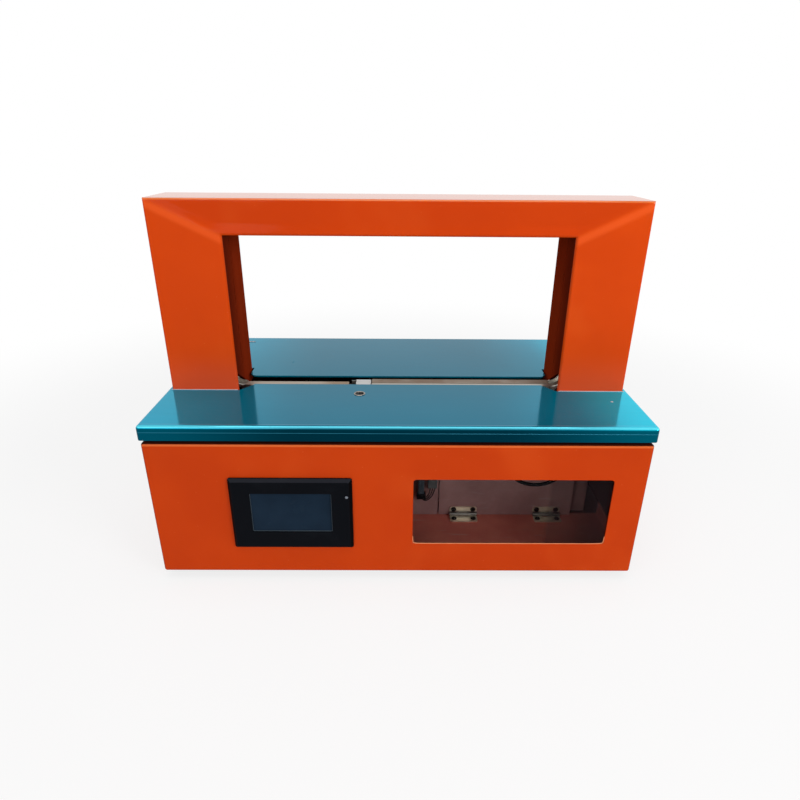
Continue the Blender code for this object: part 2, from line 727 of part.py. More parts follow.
def front_table_plate():
    split = ARCH_MIDDLE - SEAM / 2
    plate = shell("front_table_plate", (-TABLE_HALF, TABLE_FRONT, SKIRT_BOTTOM),
                  (TABLE_HALF, split, TABLE_TOP), ("top", "front", "left", "right"),
                  TABLE_SHEET, TABLE_BEND, "blue film")
    leg_outer = ARCH_HALF + FIT
    leg_front = ARCH_FRONT - FIT
    base = OPENING_HALF - TONGUE_SIDE_GAP
    tip = base - TONGUE_CORNER
    beyond = split + OVERRUN
    outline = [(-leg_outer, beyond), (-leg_outer, leg_front), (-base, leg_front), (-tip, SLOT_FRONT),
               (tip, SLOT_FRONT), (base, leg_front), (leg_outer, leg_front), (leg_outer, beyond)]
    notch = prism("front notch cutter", outline, "Z", SKIRT_BOTTOM - OVERRUN, TABLE_TOP + OVERRUN)
    hole = cylinder("sensor hole cutter", RING_BARREL_RADIUS + FIT, "Z", TABLE_UNDER - OVERRUN,
                    TABLE_TOP + OVERRUN, (SENSOR_X, SENSOR_Y))
    cut(plate, notch, hole)


def rear_table_plate():
    split = ARCH_MIDDLE + SEAM / 2
    plate = shell("rear_table_plate", (-TABLE_HALF, split, SKIRT_BOTTOM),
                  (TABLE_HALF, TABLE_BACK, TABLE_TOP), ("top", "back", "left", "right"),
                  TABLE_SHEET, TABLE_BEND, "blue film")
    leg_outer = ARCH_HALF + FIT
    leg_back = ARCH_BACK + FIT
    tongue = OPENING_HALF - REAR_TONGUE_SIDE_GAP
    before = split - OVERRUN
    for side_word, side in (("left", -1), ("right", 1)):
        leg = prism(f"rear {side_word} leg cutter",
                    [(side * leg_outer, before), (side * leg_outer, leg_back),
                     (side * tongue, leg_back), (side * tongue, before)],
                    "Z", SKIRT_BOTTOM - OVERRUN, TABLE_TOP + OVERRUN)
        cut(plate, leg)
    edge = SLOT_BACK
    radius = REAR_TONGUE_RADIUS
    outline = [(-tongue - OVERRUN, before - OVERRUN), (tongue + OVERRUN, before - OVERRUN)]
    outline += [(tongue + OVERRUN, edge + radius)]
    outline += rounded_front_edge(tongue, edge, radius)
    outline += [(-tongue - OVERRUN, edge + radius)]
    slot = prism("rear slot cutter", outline, "Z", SKIRT_BOTTOM - OVERRUN, TABLE_TOP + OVERRUN)
    cut(plate, slot)


def rounded_front_edge(half, edge, radius):
    """Points from right to left along a straight edge whose two ends round off backwards."""
    points = []
    for step in range(CORNER_STEPS + 1):
        angle = math.pi / 2 * step / CORNER_STEPS
        points.append((half - radius + radius * math.cos(angle), edge + radius - radius * math.sin(angle)))
    return points + [(-across, up) for across, up in reversed(points)]


# Arch

def arch_legs():
    for name, side, side_word in (("arch_left_leg", -1, "left"), ("arch_right_leg", 1, "right")):
        inner = side * OPENING_HALF
        outer = side * ARCH_HALF
        leg = shell(name, (min(inner, outer), ARCH_FRONT, ARCH_BOTTOM),
                    (max(inner, outer), ARCH_BACK, ARCH_TOP),
                    ("left", "right", "front", "back"), SHEET, SHEET_BEND, "orange coat")
        cut(leg, mitre_tool(f"{side_word} leg mitre cutter", side, 1))
        width = RIGHT_TRACK_WIDTH if side > 0 else LEFT_TRACK_WIDTH
        slit_y = TRACK_FRONT + width / 2
        near = min(inner - side * OVERRUN, inner + side * (SHEET + OVERRUN))
        far = max(inner - side * OVERRUN, inner + side * (SHEET + OVERRUN))
        slit = box(f"{side_word} leg slit cutter", (near, slit_y - TAPE_SLIT / 2, ARCH_BOTTOM - OVERRUN),
                   (far, slit_y + TAPE_SLIT / 2, ARCH_TOP + OVERRUN))
        door = box(f"{side_word} guide door cutter",
                   (near, TRACK_FRONT - GUIDE_DOOR_SIDE, ARCH_BOTTOM - OVERRUN),
                   (far, TRACK_FRONT + width + GUIDE_DOOR_SIDE, TABLE_TOP + GUIDE_DOOR_RISE))
        cut(leg, slit, door)


def mitre_tool(name, side, above):
    """Wedge above or below the slanted joint between a leg and the beam, with half the seam."""
    slope = Vector((ARCH_HALF - OPENING_HALF, ARCH_TOP - BEAM_UNDER)).normalized()
    normal = Vector((-slope.y, slope.x)) * above
    inner = Vector((OPENING_HALF, BEAM_UNDER)) - slope * OVERRUN - normal * FIT / 2
    outer = Vector((ARCH_HALF, ARCH_TOP)) + slope * OVERRUN - normal * FIT / 2
    if above > 0:
        limit = max(ARCH_TOP + OVERRUN, outer.y)
    else:
        limit = min(BEAM_UNDER - OVERRUN, inner.y)
    corners = [(inner.x, inner.y), (outer.x, outer.y), (outer.x, limit), (inner.x, limit)]
    outline = [(side * across, up) for across, up in corners]
    return prism(name, outline, "Y", ARCH_FRONT - OVERRUN, ARCH_BACK + OVERRUN)


def arch_beam():
    beam = shell("arch_beam", (-ARCH_HALF, ARCH_FRONT, BEAM_UNDER), (ARCH_HALF, ARCH_BACK, ARCH_TOP),
                 ("top", "bottom", "front", "back"), SHEET, SHEET_BEND, "orange coat")
    slit_y = TRACK_FRONT + LEFT_TRACK_WIDTH / 2
    slit = box("beam slit cutter", (-ARCH_HALF - OVERRUN, slit_y - TAPE_SLIT / 2, BEAM_UNDER - OVERRUN),
               (ARCH_HALF + OVERRUN, slit_y + TAPE_SLIT / 2, BEAM_UNDER + SHEET + OVERRUN))
    left_mitre = mitre_tool("left beam mitre cutter", -1, -1)
    right_mitre = mitre_tool("right beam mitre cutter", 1, -1)
    cut(beam, left_mitre, right_mitre, slit)


def arch_posts():
    for name, side in (("left_arch_post", -1), ("right_arch_post", 1)):
        inner = side * (SHELF_HALF + POST_GAP)
        outer = side * (BODY_RIGHT - PANEL_RETURN - POST_SIDE_GAP)
        shell(name, (min(inner, outer), ARCH_FRONT + POST_FRONT_GAP, FLOOR_TOP + FIT),
              (max(inner, outer), ARCH_BACK - POST_BACK_GAP, SHELF_TOP),
              ("left", "right", "front", "back"), TABLE_SHEET, SHEET_BEND, "zinc sheet")


# Tape tracks

def channel_outline(front, width, floor, rise):
    """Section of a channel: a floor with a lip at the front and at the back."""
    back = front + width
    base = floor - LIP_SHEET
    top = floor + rise
    return [(front, base), (back, base), (back, top), (back - LIP_SHEET, top),
            (back - LIP_SHEET, floor), (front + LIP_SHEET, floor), (front + LIP_SHEET, top), (front, top)]


def arch_channels():
    """Deep channels that lead the tape up the legs and across the beam."""
    inside = OPENING_HALF + SHEET + FIT
    depth = CHANNEL_FACE + LIP_HEIGHT - inside
    for name, side, width in (("left_leg_track", -1, LEFT_TRACK_WIDTH),
                              ("right_leg_track", 1, RIGHT_TRACK_WIDTH)):
        section = channel_outline(TRACK_FRONT, width, 0.0, depth)
        outline = [(side * (CHANNEL_FACE + LIP_HEIGHT - up), across) for across, up in section]
        prism(name, outline, "Z", GUIDE_TOP + FIT, UPPER_START - FIT, "orange coat")
    floor = UPPER_START + GUIDE_RADIUS + LIP_HEIGHT
    depth = floor - (BEAM_UNDER + SHEET + FIT)
    section = channel_outline(TRACK_FRONT, LEFT_TRACK_WIDTH, 0.0, depth)
    outline = [(across, floor - up) for across, up in section]
    prism("beam_track", outline, "X", -GUIDE_START + FIT, GUIDE_START - FIT, "orange coat")


def corner_guide(name, side, width, centre_z, upward, finish):
    """Quarter-round channel about a Y axis, from level at the centre to upright at the side."""
    centre = Vector((side * GUIDE_START, 0.0, centre_z))
    shape = bmesh.new()
    verts = []
    for across, up in channel_outline(TRACK_FRONT, width, 0.0, LIP_HEIGHT):
        radius = GUIDE_RADIUS + LIP_HEIGHT - up
        verts.append(shape.verts.new((centre.x, across, centre_z + upward * radius)))
    shape.faces.new(verts)
    turn = math.pi / 2 * side * upward
    bmesh.ops.spin(shape, geom=shape.verts[:] + shape.edges[:] + shape.faces[:], cent=centre,
                   axis=(0.0, 1.0, 0.0), angle=turn, steps=GUIDE_STEPS, use_duplicate=False)
    bmesh.ops.remove_doubles(shape, verts=shape.verts, dist=FIT / 100)
    bmesh.ops.recalc_face_normals(shape, faces=shape.faces)
    return place(name, finish_bmesh(name, shape), finish)


def corner_guides():
    for side_word, side, width in (("left", -1, LEFT_TRACK_WIDTH), ("right", 1, RIGHT_TRACK_WIDTH)):
        guide = corner_guide(f"lower_{side_word}_guide", side, width, GUIDE_TOP, -1, "worn steel")
        near = side * (GUIDE_START + FIT)
        far = side * (GUIDE_START + GUIDE_FOOT)
        foot = box(f"{side_word} guide foot", (min(near, far), TRACK_FRONT + LIP_SHEET, SHELF_TOP + FIT),
                   (max(near, far), TRACK_FRONT + width - LIP_SHEET,
                    TRACK_TOP - LIP_HEIGHT - LIP_SHEET / 2))
        join(guide, foot)
        corner_guide(f"upper_{side_word}_guide", side, LEFT_TRACK_WIDTH, UPPER_START, 1, "worn steel")


def slot_tracks():
    bottom = SHELF_TOP + FIT
    limit = GUIDE_START - FIT
    left_end = ANVIL_LEFT - NOTCH_WIDTH
    box("left_slot_track", (-limit, TRACK_FRONT, bottom),
        (left_end, TRACK_FRONT + LEFT_RAIL_WIDTH, TRACK_TOP), "worn steel")
    start = ANVIL_RIGHT + SEAM * 2
    track = box("right_slot_track", (start, TRACK_FRONT, bottom),
                (limit, TRACK_FRONT + RIGHT_TRACK_WIDTH, TRACK_TOP), "worn steel")
    groove_front = TRACK_FRONT + TRACK_RAIL_WIDTH
    groove = box("track groove cutter", (start - OVERRUN, groove_front, TRACK_TOP - TRACK_GROOVE_DEPTH),
                 (limit + OVERRUN, groove_front + TRACK_GROOVE_WIDTH, TRACK_TOP + OVERRUN))
    cut(track, groove)


# Main plate

def main_plate():
    plate = prism("main_plate", [(WEB_BACK, FLOOR_TOP + FIT), (WEB_BACK, SHELF_TOP),
                                 (TRACK_FRONT, SHELF_TOP), (TRACK_FRONT, SHELF_TOP - SHELF_SHEET),
                                 (WEB_FRONT, SHELF_TOP - SHELF_SHEET), (WEB_FRONT, FLOOR_TOP + FIT)],
                  "X", -SHELF_HALF, SHELF_HALF, "zinc sheet")
    head = box("head notch cutter",
               (HEAD_LEFT - FIT, TRACK_FRONT - OVERRUN, SHELF_TOP - SHELF_SHEET - OVERRUN),
               (HEAD_RIGHT + FIT, WEB_FRONT, SHELF_TOP + OVERRUN))
    cut(plate, head)
    for word, x in (("drive", DRIVE_X), ("pinch", PINCH_X)):
        cut(plate, cylinder(f"{word} bore cutter", FEED_SHAFT_RADIUS + FIT, "Y", WEB_FRONT - OVERRUN,
                            WEB_BACK + OVERRUN, (x, FEED_Z)))


# Window and screen

def window_pane():
    front = BODY_FRONT + SHEET + FIT
    low = (WINDOW_LEFT - PANE_LAP, WINDOW_BOTTOM - PANE_LAP)
    high = (WINDOW_RIGHT + PANE_LAP, WINDOW_TOP + PANE_LAP)
    prism("window_pane", rectangle(low, high, WINDOW_RADIUS), "Y", front, front + PANE_SHEET,
          "smoked acrylic")


def screen_bezel():
    back = BODY_FRONT - FIT
    shape = box_bmesh((BEZEL_LEFT, BEZEL_FRONT, BEZEL_BOTTOM), (BEZEL_RIGHT, back, BEZEL_TOP))
    front_face = min(shape.faces, key=lambda face: face.calc_center_median().y)
    bmesh.ops.bevel(shape, geom=list(front_face.edges), offset=BEZEL_CHAMFER, offset_type="OFFSET",
                    segments=1, profile=0.5, affect="EDGES", clamp_overlap=True)
    bezel = place("screen_bezel", finish_bmesh("screen_bezel", shape), "black plastic")
    recess = box("bezel recess cutter",
                 (SCREEN_X - HOUSING_WIDTH / 2 - FIT, GLASS_FRONT - FIT,
                  SCREEN_Z - HOUSING_HEIGHT / 2 - FIT),
                 (SCREEN_X + HOUSING_WIDTH / 2 + FIT, back + OVERRUN,
                  SCREEN_Z + HOUSING_HEIGHT / 2 + FIT))
    sight = box("bezel sight cutter",
                (SCREEN_X - LCD_WIDTH / 2, BEZEL_FRONT - OVERRUN, SCREEN_Z - LCD_HEIGHT / 2),
                (SCREEN_X + LCD_WIDTH / 2, GLASS_FRONT + OVERRUN, SCREEN_Z + LCD_HEIGHT / 2))
    lamp = cylinder("lamp bore cutter", LAMP_RADIUS + FIT, "Y", BEZEL_FRONT - OVERRUN, back + OVERRUN,
                    lamp_centre(), steps=SMALL_ROUND_STEPS)
    cut(bezel, recess, sight, lamp)


def lamp_centre():
    return (BEZEL_RIGHT - LAMP_EDGE_GAP, BEZEL_TOP - LAMP_TOP_GAP)


def screen_parts():
    half_width = HOUSING_WIDTH / 2
    half_height = HOUSING_HEIGHT / 2
    box("screen_glass", (SCREEN_X - half_width, GLASS_FRONT, SCREEN_Z - half_height),
        (SCREEN_X + half_width, GLASS_FRONT + GLASS_SHEET, SCREEN_Z + half_height), "screen glass")
    box("screen_housing", (SCREEN_X - half_width, HOUSING_FRONT, SCREEN_Z - half_height),
        (SCREEN_X + half_width, HOUSING_FRONT + HOUSING_DEPTH, SCREEN_Z + half_height), "black plastic")
    cylinder("power_lamp", LAMP_RADIUS, "Y", BEZEL_FRONT, BODY_FRONT - FIT, lamp_centre(), "lamp lens",
             steps=SMALL_ROUND_STEPS)


# Start sensor

def start_sensor():
    top = TABLE_TOP + FIT + RING_HEIGHT
    collar = TABLE_TOP + FIT
    bottom = TABLE_UNDER - RING_BARREL_DEPTH
    profile = [(RING_BORE_RADIUS, bottom), (RING_BORE_RADIUS, top), (RING_RADIUS - RING_HEIGHT / 2, top),
               (RING_RADIUS, collar), (RING_BARREL_RADIUS, collar), (RING_BARREL_RADIUS, bottom)]
    turned("sensor_ring", profile, "Z", (SENSOR_X, SENSOR_Y, 0.0), "steel", ring=True)
    sensor_top = TABLE_TOP - SENSOR_RECESS
    cylinder("start_sensor", RING_BORE_RADIUS - FIT, "Z", sensor_top - SENSOR_LENGTH, sensor_top,
             (SENSOR_X, SENSOR_Y), "dark lens", steps=SMALL_ROUND_STEPS)


# Flap, divider and hinges

def flap_and_divider():
    flap = box("inner_flap", (FLAP_LEFT, FLAP_FRONT, FLOOR_TOP + FIT),
               (FLAP_RIGHT, FLAP_FRONT + FLAP_SHEET, HINGE_Z + FLAP_LENGTH), "zinc sheet")
    set_origin(flap, (0.0, HINGE_Y, HINGE_Z))
    right = FLAP_LEFT - FLAP_SIDE_GAP
    box("divider_panel", (WINDOW_LEFT - DIVIDER_LEFT_GAP, FLAP_FRONT, FLOOR_TOP + FIT),
        (right, FLAP_FRONT + FLAP_SHEET, HINGE_Z + FLAP_LENGTH), "zinc sheet")
    back = FLAP_FRONT - FIT
    bottom = FLOOR_TOP + SWITCH_RISE
    middle = right - SWITCH_WIDTH / 2 - SWITCH_LEVER
    switch = box("interlock_switch", (middle - SWITCH_WIDTH / 2, back - SWITCH_DEPTH, bottom),
                 (middle + SWITCH_WIDTH / 2, back, bottom + SWITCH_HEIGHT), "black plastic")
    side = middle + SWITCH_WIDTH / 2
    lever = box("switch lever", (side - OVERRUN, back - SWITCH_DEPTH, bottom + SWITCH_LEVER),
                (side + SWITCH_LEVER, back - SWITCH_DEPTH + LEAF_SHEET,
                 bottom + SWITCH_LEVER + SWITCH_LEVER))
    join(switch, lever)


def hinge(word, middle):
    """Butt hinge: a leaf on the floor, a leaf on the flap and the pin through their knuckles."""
    left = middle - LEAF_WIDTH / 2
    right = middle + LEAF_WIDTH / 2
    clear = KNUCKLE_RADIUS + FIT
    inner = KNUCKLE_WIDTH / 2
    bore_radius = HINGE_PIN_RADIUS + FIT
    bore = cylinder(f"{word} hinge bore cutter", bore_radius, "X", left - OVERRUN, right + OVERRUN,
                    (HINGE_Y, HINGE_Z), steps=SMALL_ROUND_STEPS)
    floor_leaf = box(f"{word}_hinge_floor_leaf", (left, HINGE_Y - LEAF_REACH, HINGE_Z - KNUCKLE_RADIUS),
                     (right, HINGE_Y, HINGE_Z - KNUCKLE_RADIUS + LEAF_SHEET), "hinge nickel")
    floor_knuckle = cylinder(f"{word} floor knuckle", KNUCKLE_RADIUS, "X", left, right, (HINGE_Y, HINGE_Z),
                             steps=SMALL_ROUND_STEPS)
    middle_gap = box(f"{word} middle gap cutter",
                     (middle - inner - FIT, HINGE_Y - clear, HINGE_Z - clear),
                     (middle + inner + FIT, HINGE_Y + clear, HINGE_Z + clear))
    join(floor_leaf, floor_knuckle)
    cut(floor_leaf, middle_gap, bore)
    flap_leaf = box(f"{word}_hinge_flap_leaf", (left, HINGE_Y + KNUCKLE_RADIUS - LEAF_SHEET, HINGE_Z),
                    (right, HINGE_Y + KNUCKLE_RADIUS, HINGE_Z + LEAF_REACH), "hinge nickel")
    flap_knuckle = cylinder(f"{word} flap knuckle", KNUCKLE_RADIUS, "X", middle - inner, middle + inner,
                            (HINGE_Y, HINGE_Z), steps=SMALL_ROUND_STEPS)
    join(flap_leaf, flap_knuckle)
    for side_word, near, far in (("left", left - OVERRUN, middle - inner),
                                 ("right", middle + inner, right + OVERRUN)):
        gap = box(f"{word} {side_word} gap cutter", (near, HINGE_Y - clear, HINGE_Z - clear),
                  (far, HINGE_Y + clear, HINGE_Z + clear))
        cut(flap_leaf, gap)
    cut(flap_leaf, bore)
    set_origin(flap_leaf, (middle, HINGE_Y, HINGE_Z))
    cylinder(f"{word}_hinge_pin", HINGE_PIN_RADIUS, "X", left, right, (HINGE_Y, HINGE_Z), "steel",
             steps=SMALL_ROUND_STEPS)


def hinges():
    hinge("left", FLAP_LEFT + HINGE_INSET)
    hinge("right", FLAP_RIGHT - HINGE_INSET)


# Sealing head

def head_block():
    block = box("head_block", (HEAD_LEFT, HEAD_FRONT, HEAD_BOTTOM), (HEAD_RIGHT, HEAD_BACK, HEAD_TOP),
                "steel")
    rear_drop = box("head step cutter", (HEAD_LEFT - OVERRUN, HEAD_STEP, HEAD_LOW_TOP),
                    (HEAD_RIGHT + OVERRUN, HEAD_BACK + OVERRUN, HEAD_TOP + OVERRUN))
    slide = box("anvil channel cutter", (ANVIL_LEFT - FIT, HEAD_FRONT - OVERRUN, ANVIL_BOTTOM - FIT),
                (ANVIL_RIGHT + FIT, HEAD_BACK + OVERRUN, HEAD_TOP + OVERRUN))
    pocket = box("blade pocket cutter", (ANVIL_LEFT - FIT, BLADE_FRONT - FIT, HEAD_BOTTOM),
                 (ANVIL_RIGHT + FIT, BLADE_BACK + FIT, HEAD_TOP))
    cavity = box("cam cavity cutter",
                 (HEAD_LEFT + HEAD_CHEEK, HEAD_FRONT + HEAD_CHEEK, HEAD_BOTTOM - OVERRUN),
                 (HEAD_RIGHT - HEAD_CHEEK, HEAD_BACK + OVERRUN, HEAD_BOTTOM + HEAD_CAVITY_HEIGHT))
    bore = cylinder("cam bore cutter", CAM_SHAFT_RADIUS + FIT, "X", HEAD_LEFT - OVERRUN,
                    HEAD_RIGHT + OVERRUN, (CAM_Y, CAM_Z))
    cut(block, rear_drop, slide, pocket, cavity, bore)
    stop_right = ANVIL_LEFT - STOP_GAP
    stop = box("tape stop", (stop_right - STOP_WIDTH, BLADE_BACK - STOP_DEPTH, HEAD_LOW_TOP - OVERRUN),
               (stop_right, BLADE_BACK, TRACK_TOP - STOP_DROP))
    join(block, stop)


def sealing_anvil():
    anvil = box("sealing_anvil", (ANVIL_LEFT, ANVIL_FRONT, ANVIL_BOTTOM),
                (ANVIL_RIGHT, ANVIL_BACK, ANVIL_TOP), "white nylon")
    set_origin(anvil, ((ANVIL_LEFT + ANVIL_RIGHT) / 2, (ANVIL_FRONT + ANVIL_BACK) / 2, ANVIL_BOTTOM))


def blade_spans():
    """Left and right limits of the three blades that share the pocket under the anvil."""
    press_left = HEAD_X - PRESS_WIDTH / 2
    press_right = HEAD_X + PRESS_WIDTH / 2
    return (("left_gripper", ANVIL_LEFT, press_left - FIT), ("sealing_press", press_left, press_right),
            ("right_gripper", press_right + FIT, ANVIL_RIGHT))


def blades():
    for name, left, right in blade_spans():
        blade = box(name, (left, BLADE_FRONT, BLADE_BOTTOM), (right, BLADE_BACK, BLADE_TOP), "steel")
        set_origin(blade, ((left + right) / 2, CAM_Y, BLADE_BOTTOM))


def cam_radius(angle):
    """Cam radius at an angle from straight up towards the back: even rise, dwell, smooth fall."""
    if angle <= CAM_RISE_TURN:
        return CAM_BASE_RADIUS + CAM_LIFT * angle / CAM_RISE_TURN
    past = angle - CAM_RISE_TURN - CAM_DWELL_TURN
    if past <= 0:
        return CAM_BASE_RADIUS + CAM_LIFT
    fall = min(past / CAM_RISE_TURN, 1.0)
    return CAM_BASE_RADIUS + CAM_LIFT * (1 + math.cos(math.pi * fall)) / 2


def cam_shaft():
    right_end = HEAD_RIGHT + FIT + CAM_SHAFT_REACH
    shaft = cylinder("cam_shaft", CAM_SHAFT_RADIUS, "X", HEAD_LEFT + CAM_SHAFT_INSET, right_end,
                     (CAM_Y, CAM_Z), "steel")
    steps = round(math.tau / CAM_STEP_TURN)
    outline = []
    for step in range(steps):
        angle = step * CAM_STEP_TURN
        radius = cam_radius(angle)
        outline.append((CAM_Y + radius * math.sin(angle), CAM_Z + radius * math.cos(angle)))
    for name, left, right in blade_spans():
        lobe = prism(f"{name} cam", outline, "X", left + CAM_SIDE_CLEARANCE, right - CAM_SIDE_CLEARANCE)
        join(shaft, lobe)


def cam_motor():
    start = HEAD_RIGHT + FIT
    collar_end = start + CAM_MOTOR_COLLAR
    profile = [(0.0, start), (CAM_MOTOR_COLLAR_RADIUS, start), (CAM_MOTOR_COLLAR_RADIUS, collar_end),
               (CAM_MOTOR_RADIUS, collar_end), (CAM_MOTOR_RADIUS, start + CAM_MOTOR_LENGTH),
               (0.0, start + CAM_MOTOR_LENGTH)]
    motor = turned("cam_motor", list(reversed(profile)), "X", (0.0, CAM_Y, CAM_Z), "motor black")
    bore = cylinder("cam motor bore cutter", CAM_SHAFT_RADIUS + FIT, "X", start - OVERRUN,
                    start + MOTOR_BORE_DEPTH, (CAM_Y, CAM_Z))
    cut(motor, bore)


# Tape feed

def feed_rollers():
    front = FEED_ROLLER_BACK - FEED_ROLLER_WIDTH
    drive_end = WEB_BACK + FIT + FEED_SHAFT_REACH
    for name, x, radius, reach in (("drive_roller", DRIVE_X, DRIVE_RADIUS, drive_end),
                                   ("pinch_roller", PINCH_X, PINCH_RADIUS, WEB_BACK)):
        profile = [(0.0, reach), (FEED_SHAFT_RADIUS, reach), (FEED_SHAFT_RADIUS, FEED_ROLLER_BACK),
                   (radius, FEED_ROLLER_BACK), (radius, front), (0.0, front)]
        turned(name, [(r, -y) for r, y in reversed(profile)], "Y", (x, 0.0, FEED_Z), "rubber")


def feed_motor():
    start = WEB_BACK + FIT
    motor = cylinder("feed_motor", FEED_MOTOR_RADIUS, "Y", start, start + FEED_MOTOR_LENGTH,
                     (DRIVE_X, FEED_Z), "motor black")
    bore = cylinder("feed motor bore cutter", FEED_SHAFT_RADIUS + FIT, "Y", start - OVERRUN,
                    start + FEED_SHAFT_REACH + MOTOR_BORE_DEPTH / 2, (DRIVE_X, FEED_Z))
    cut(motor, bore)


# Reel

def reel():
    back = REEL_FRONT + REEL_WIDTH
    bore = SPINDLE_RADIUS + FIT
    profile = [(bore, back), (bore, REEL_FRONT), (REEL_RADIUS, REEL_FRONT),
               (REEL_RADIUS, REEL_FRONT + REEL_FLANGE), (REEL_HUB_RADIUS, REEL_FRONT + REEL_FLANGE),
               (REEL_HUB_RADIUS, back - REEL_FLANGE), (REEL_RADIUS, back - REEL_FLANGE), (REEL_RADIUS, back)]
    turned("tape_reel", [(r, -y) for r, y in profile], "Y", (REEL_X, 0.0, REEL_Z), "reel board", ring=True)
    start = WEB_BACK + FIT
    end = back + SPINDLE_OVERREACH
    profile = [(0.0, end), (SPINDLE_RADIUS, end), (SPINDLE_RADIUS, REEL_FRONT - FIT),
               (SPINDLE_COLLAR_RADIUS, REEL_FRONT - FIT), (SPINDLE_COLLAR_RADIUS, start + SPINDLE_FLANGE),
               (SPINDLE_FLANGE_RADIUS, start + SPINDLE_FLANGE), (SPINDLE_FLANGE_RADIUS, start), (0.0, start)]
    turned("reel_spindle", [(r, -y) for r, y in reversed(profile)], "Y", (REEL_X, 0.0, REEL_Z), "steel")


# Electrics

def power_supply():
    back = BODY_BACK - SUPPLY_WALL_GAP
    box("power_supply", (SUPPLY_X - SUPPLY_WIDTH / 2, back - SUPPLY_DEPTH, FLOOR_TOP + FIT),
        (SUPPLY_X + SUPPLY_WIDTH / 2, back, FLOOR_TOP + FIT + SUPPLY_HEIGHT), "zinc sheet", SUPPLY_BEVEL)


def control_board():
    back = BODY_BACK - SUPPLY_WALL_GAP
    left = BOARD_X - BOARD_WIDTH / 2
    right = BOARD_X + BOARD_WIDTH / 2
    front = back - BOARD_DEPTH
    bottom = FLOOR_TOP + FIT + STAND_OFF_HEIGHT
    top = bottom + BOARD_SHEET
    board = box("control_board", (left, front, bottom), (right, back, top), "circuit board")
    for side_word, x in (("left", left + STAND_OFF_INSET), ("right", right - STAND_OFF_INSET)):
        for depth_word, y in (("front", front + STAND_OFF_INSET), ("rear", back - STAND_OFF_INSET)):
            foot = cylinder(f"{depth_word} {side_word} stand-off", STAND_OFF_RADIUS, "Z", FLOOR_TOP + FIT,
                            bottom + BOARD_SHEET / 2, (x, y), steps=SMALL_ROUND_STEPS)
            join(board, foot)
    # Components: place and size as shares of the board, and their height
    part_shares = (("relay row", 0.12, 0.55, 0.30, 0.30, RELAY_HEIGHT),
                   ("main chip", 0.52, 0.40, 0.18, 0.26, CHIP_HEIGHT),
                   ("terminal row", 0.14, 0.06, 0.72, 0.12, TERMINAL_HEIGHT))
    for name, x_share, y_share, width_share, depth_share, height in part_shares:
        low = (left + x_share * BOARD_WIDTH, front + y_share * BOARD_DEPTH, bottom + BOARD_SHEET / 2)
        high = (low[0] + width_share * BOARD_WIDTH, low[1] + depth_share * BOARD_DEPTH, top + height)
        join(board, box(name, low, high))


def power_inlet():
    front = BODY_BACK - INLET_DEPTH
    flange_front = BODY_BACK + FIT
    half_width = INLET_WIDTH / 2
    half_height = INLET_HEIGHT / 2
    inlet = box("power_inlet", (INLET_X - half_width, front, INLET_Z - half_height),
                (INLET_X + half_width, flange_front + INLET_FLANGE / 2, INLET_Z + half_height),
                "black plastic")
    rim = box("inlet rim",
              (INLET_X - half_width - INLET_RIM, flange_front, INLET_Z - half_height - INLET_RIM),
              (INLET_X + half_width + INLET_RIM, FLANGE_BACK, INLET_Z + half_height + INLET_RIM))
    join(inlet, rim)
    socket_z = INLET_Z - SOCKET_DROP
    socket = box("socket cutter",
                 (INLET_X - SOCKET_WIDTH / 2, FLANGE_BACK - SOCKET_DEPTH, socket_z - SOCKET_HEIGHT / 2),
                 (INLET_X + SOCKET_WIDTH / 2, FLANGE_BACK + OVERRUN, socket_z + SOCKET_HEIGHT / 2))
    well = box("rocker well cutter",
               (INLET_X - ROCKER_WIDTH / 2 - FIT, FLANGE_BACK - ROCKER_WELL_DEPTH,
                ROCKER_Z - ROCKER_HALF - ROCKER_END_GAP),
               (INLET_X + ROCKER_WIDTH / 2 + FIT, FLANGE_BACK + OVERRUN,
                ROCKER_Z + ROCKER_HALF + ROCKER_END_GAP))
    cut(inlet, socket, well)
    for index, raise_share in ((-1, 0), (0, 1), (1, 0)):
        x = INLET_X + index * PIN_PITCH
        z = socket_z + raise_share * PIN_RAISE
        pin = box(f"inlet pin {index + 2}",
                  (x - PIN_WIDTH / 2, FLANGE_BACK - SOCKET_DEPTH - OVERRUN, z - PIN_HEIGHT / 2),
                  (x + PIN_WIDTH / 2, FLANGE_BACK - SOCKET_DEPTH + PIN_LENGTH, z + PIN_HEIGHT / 2))
        join(inlet, pin)


def switch_rocker():
    outline = [(-ROCKER_KEEL, -ROCKER_KEEL_HALF), (0.0, -ROCKER_HALF), (ROCKER_FACE, -ROCKER_HALF),
               (ROCKER_VALLEY, 0.0), (ROCKER_FACE, ROCKER_HALF), (0.0, ROCKER_HALF),
               (-ROCKER_KEEL, ROCKER_KEEL_HALF)]
    rocker = prism("switch_rocker", outline, "X", -ROCKER_WIDTH / 2, ROCKER_WIDTH / 2, "black plastic")
    rocker.data.transform(rocker.matrix_world)
    rocker.matrix_world = (Matrix.Translation((INLET_X, ROCKER_Y, ROCKER_Z))
                           @ Matrix.Rotation(ROCKER_THROW / 2, 4, "X"))


def build():
    base_tray()
    feet()
    front_panel()
    rear_panel()
    side_panels()
    table_rails()
    front_table_plate()
    rear_table_plate()
    arch_legs()
    arch_beam()
    arch_posts()
    arch_channels()
    corner_guides()
    slot_tracks()
    main_plate()
    window_pane()
    screen_bezel()
    screen_parts()
    start_sensor()
    flap_and_divider()
    hinges()
    head_block()
    sealing_anvil()
    blades()
    cam_shaft()
    cam_motor()
    feed_rollers()
    feed_motor()
    reel()
    power_supply()
    control_board()
    power_inlet()
    switch_rocker()


build()
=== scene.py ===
"""Looks of the table-top banknote strapping machine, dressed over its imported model."""

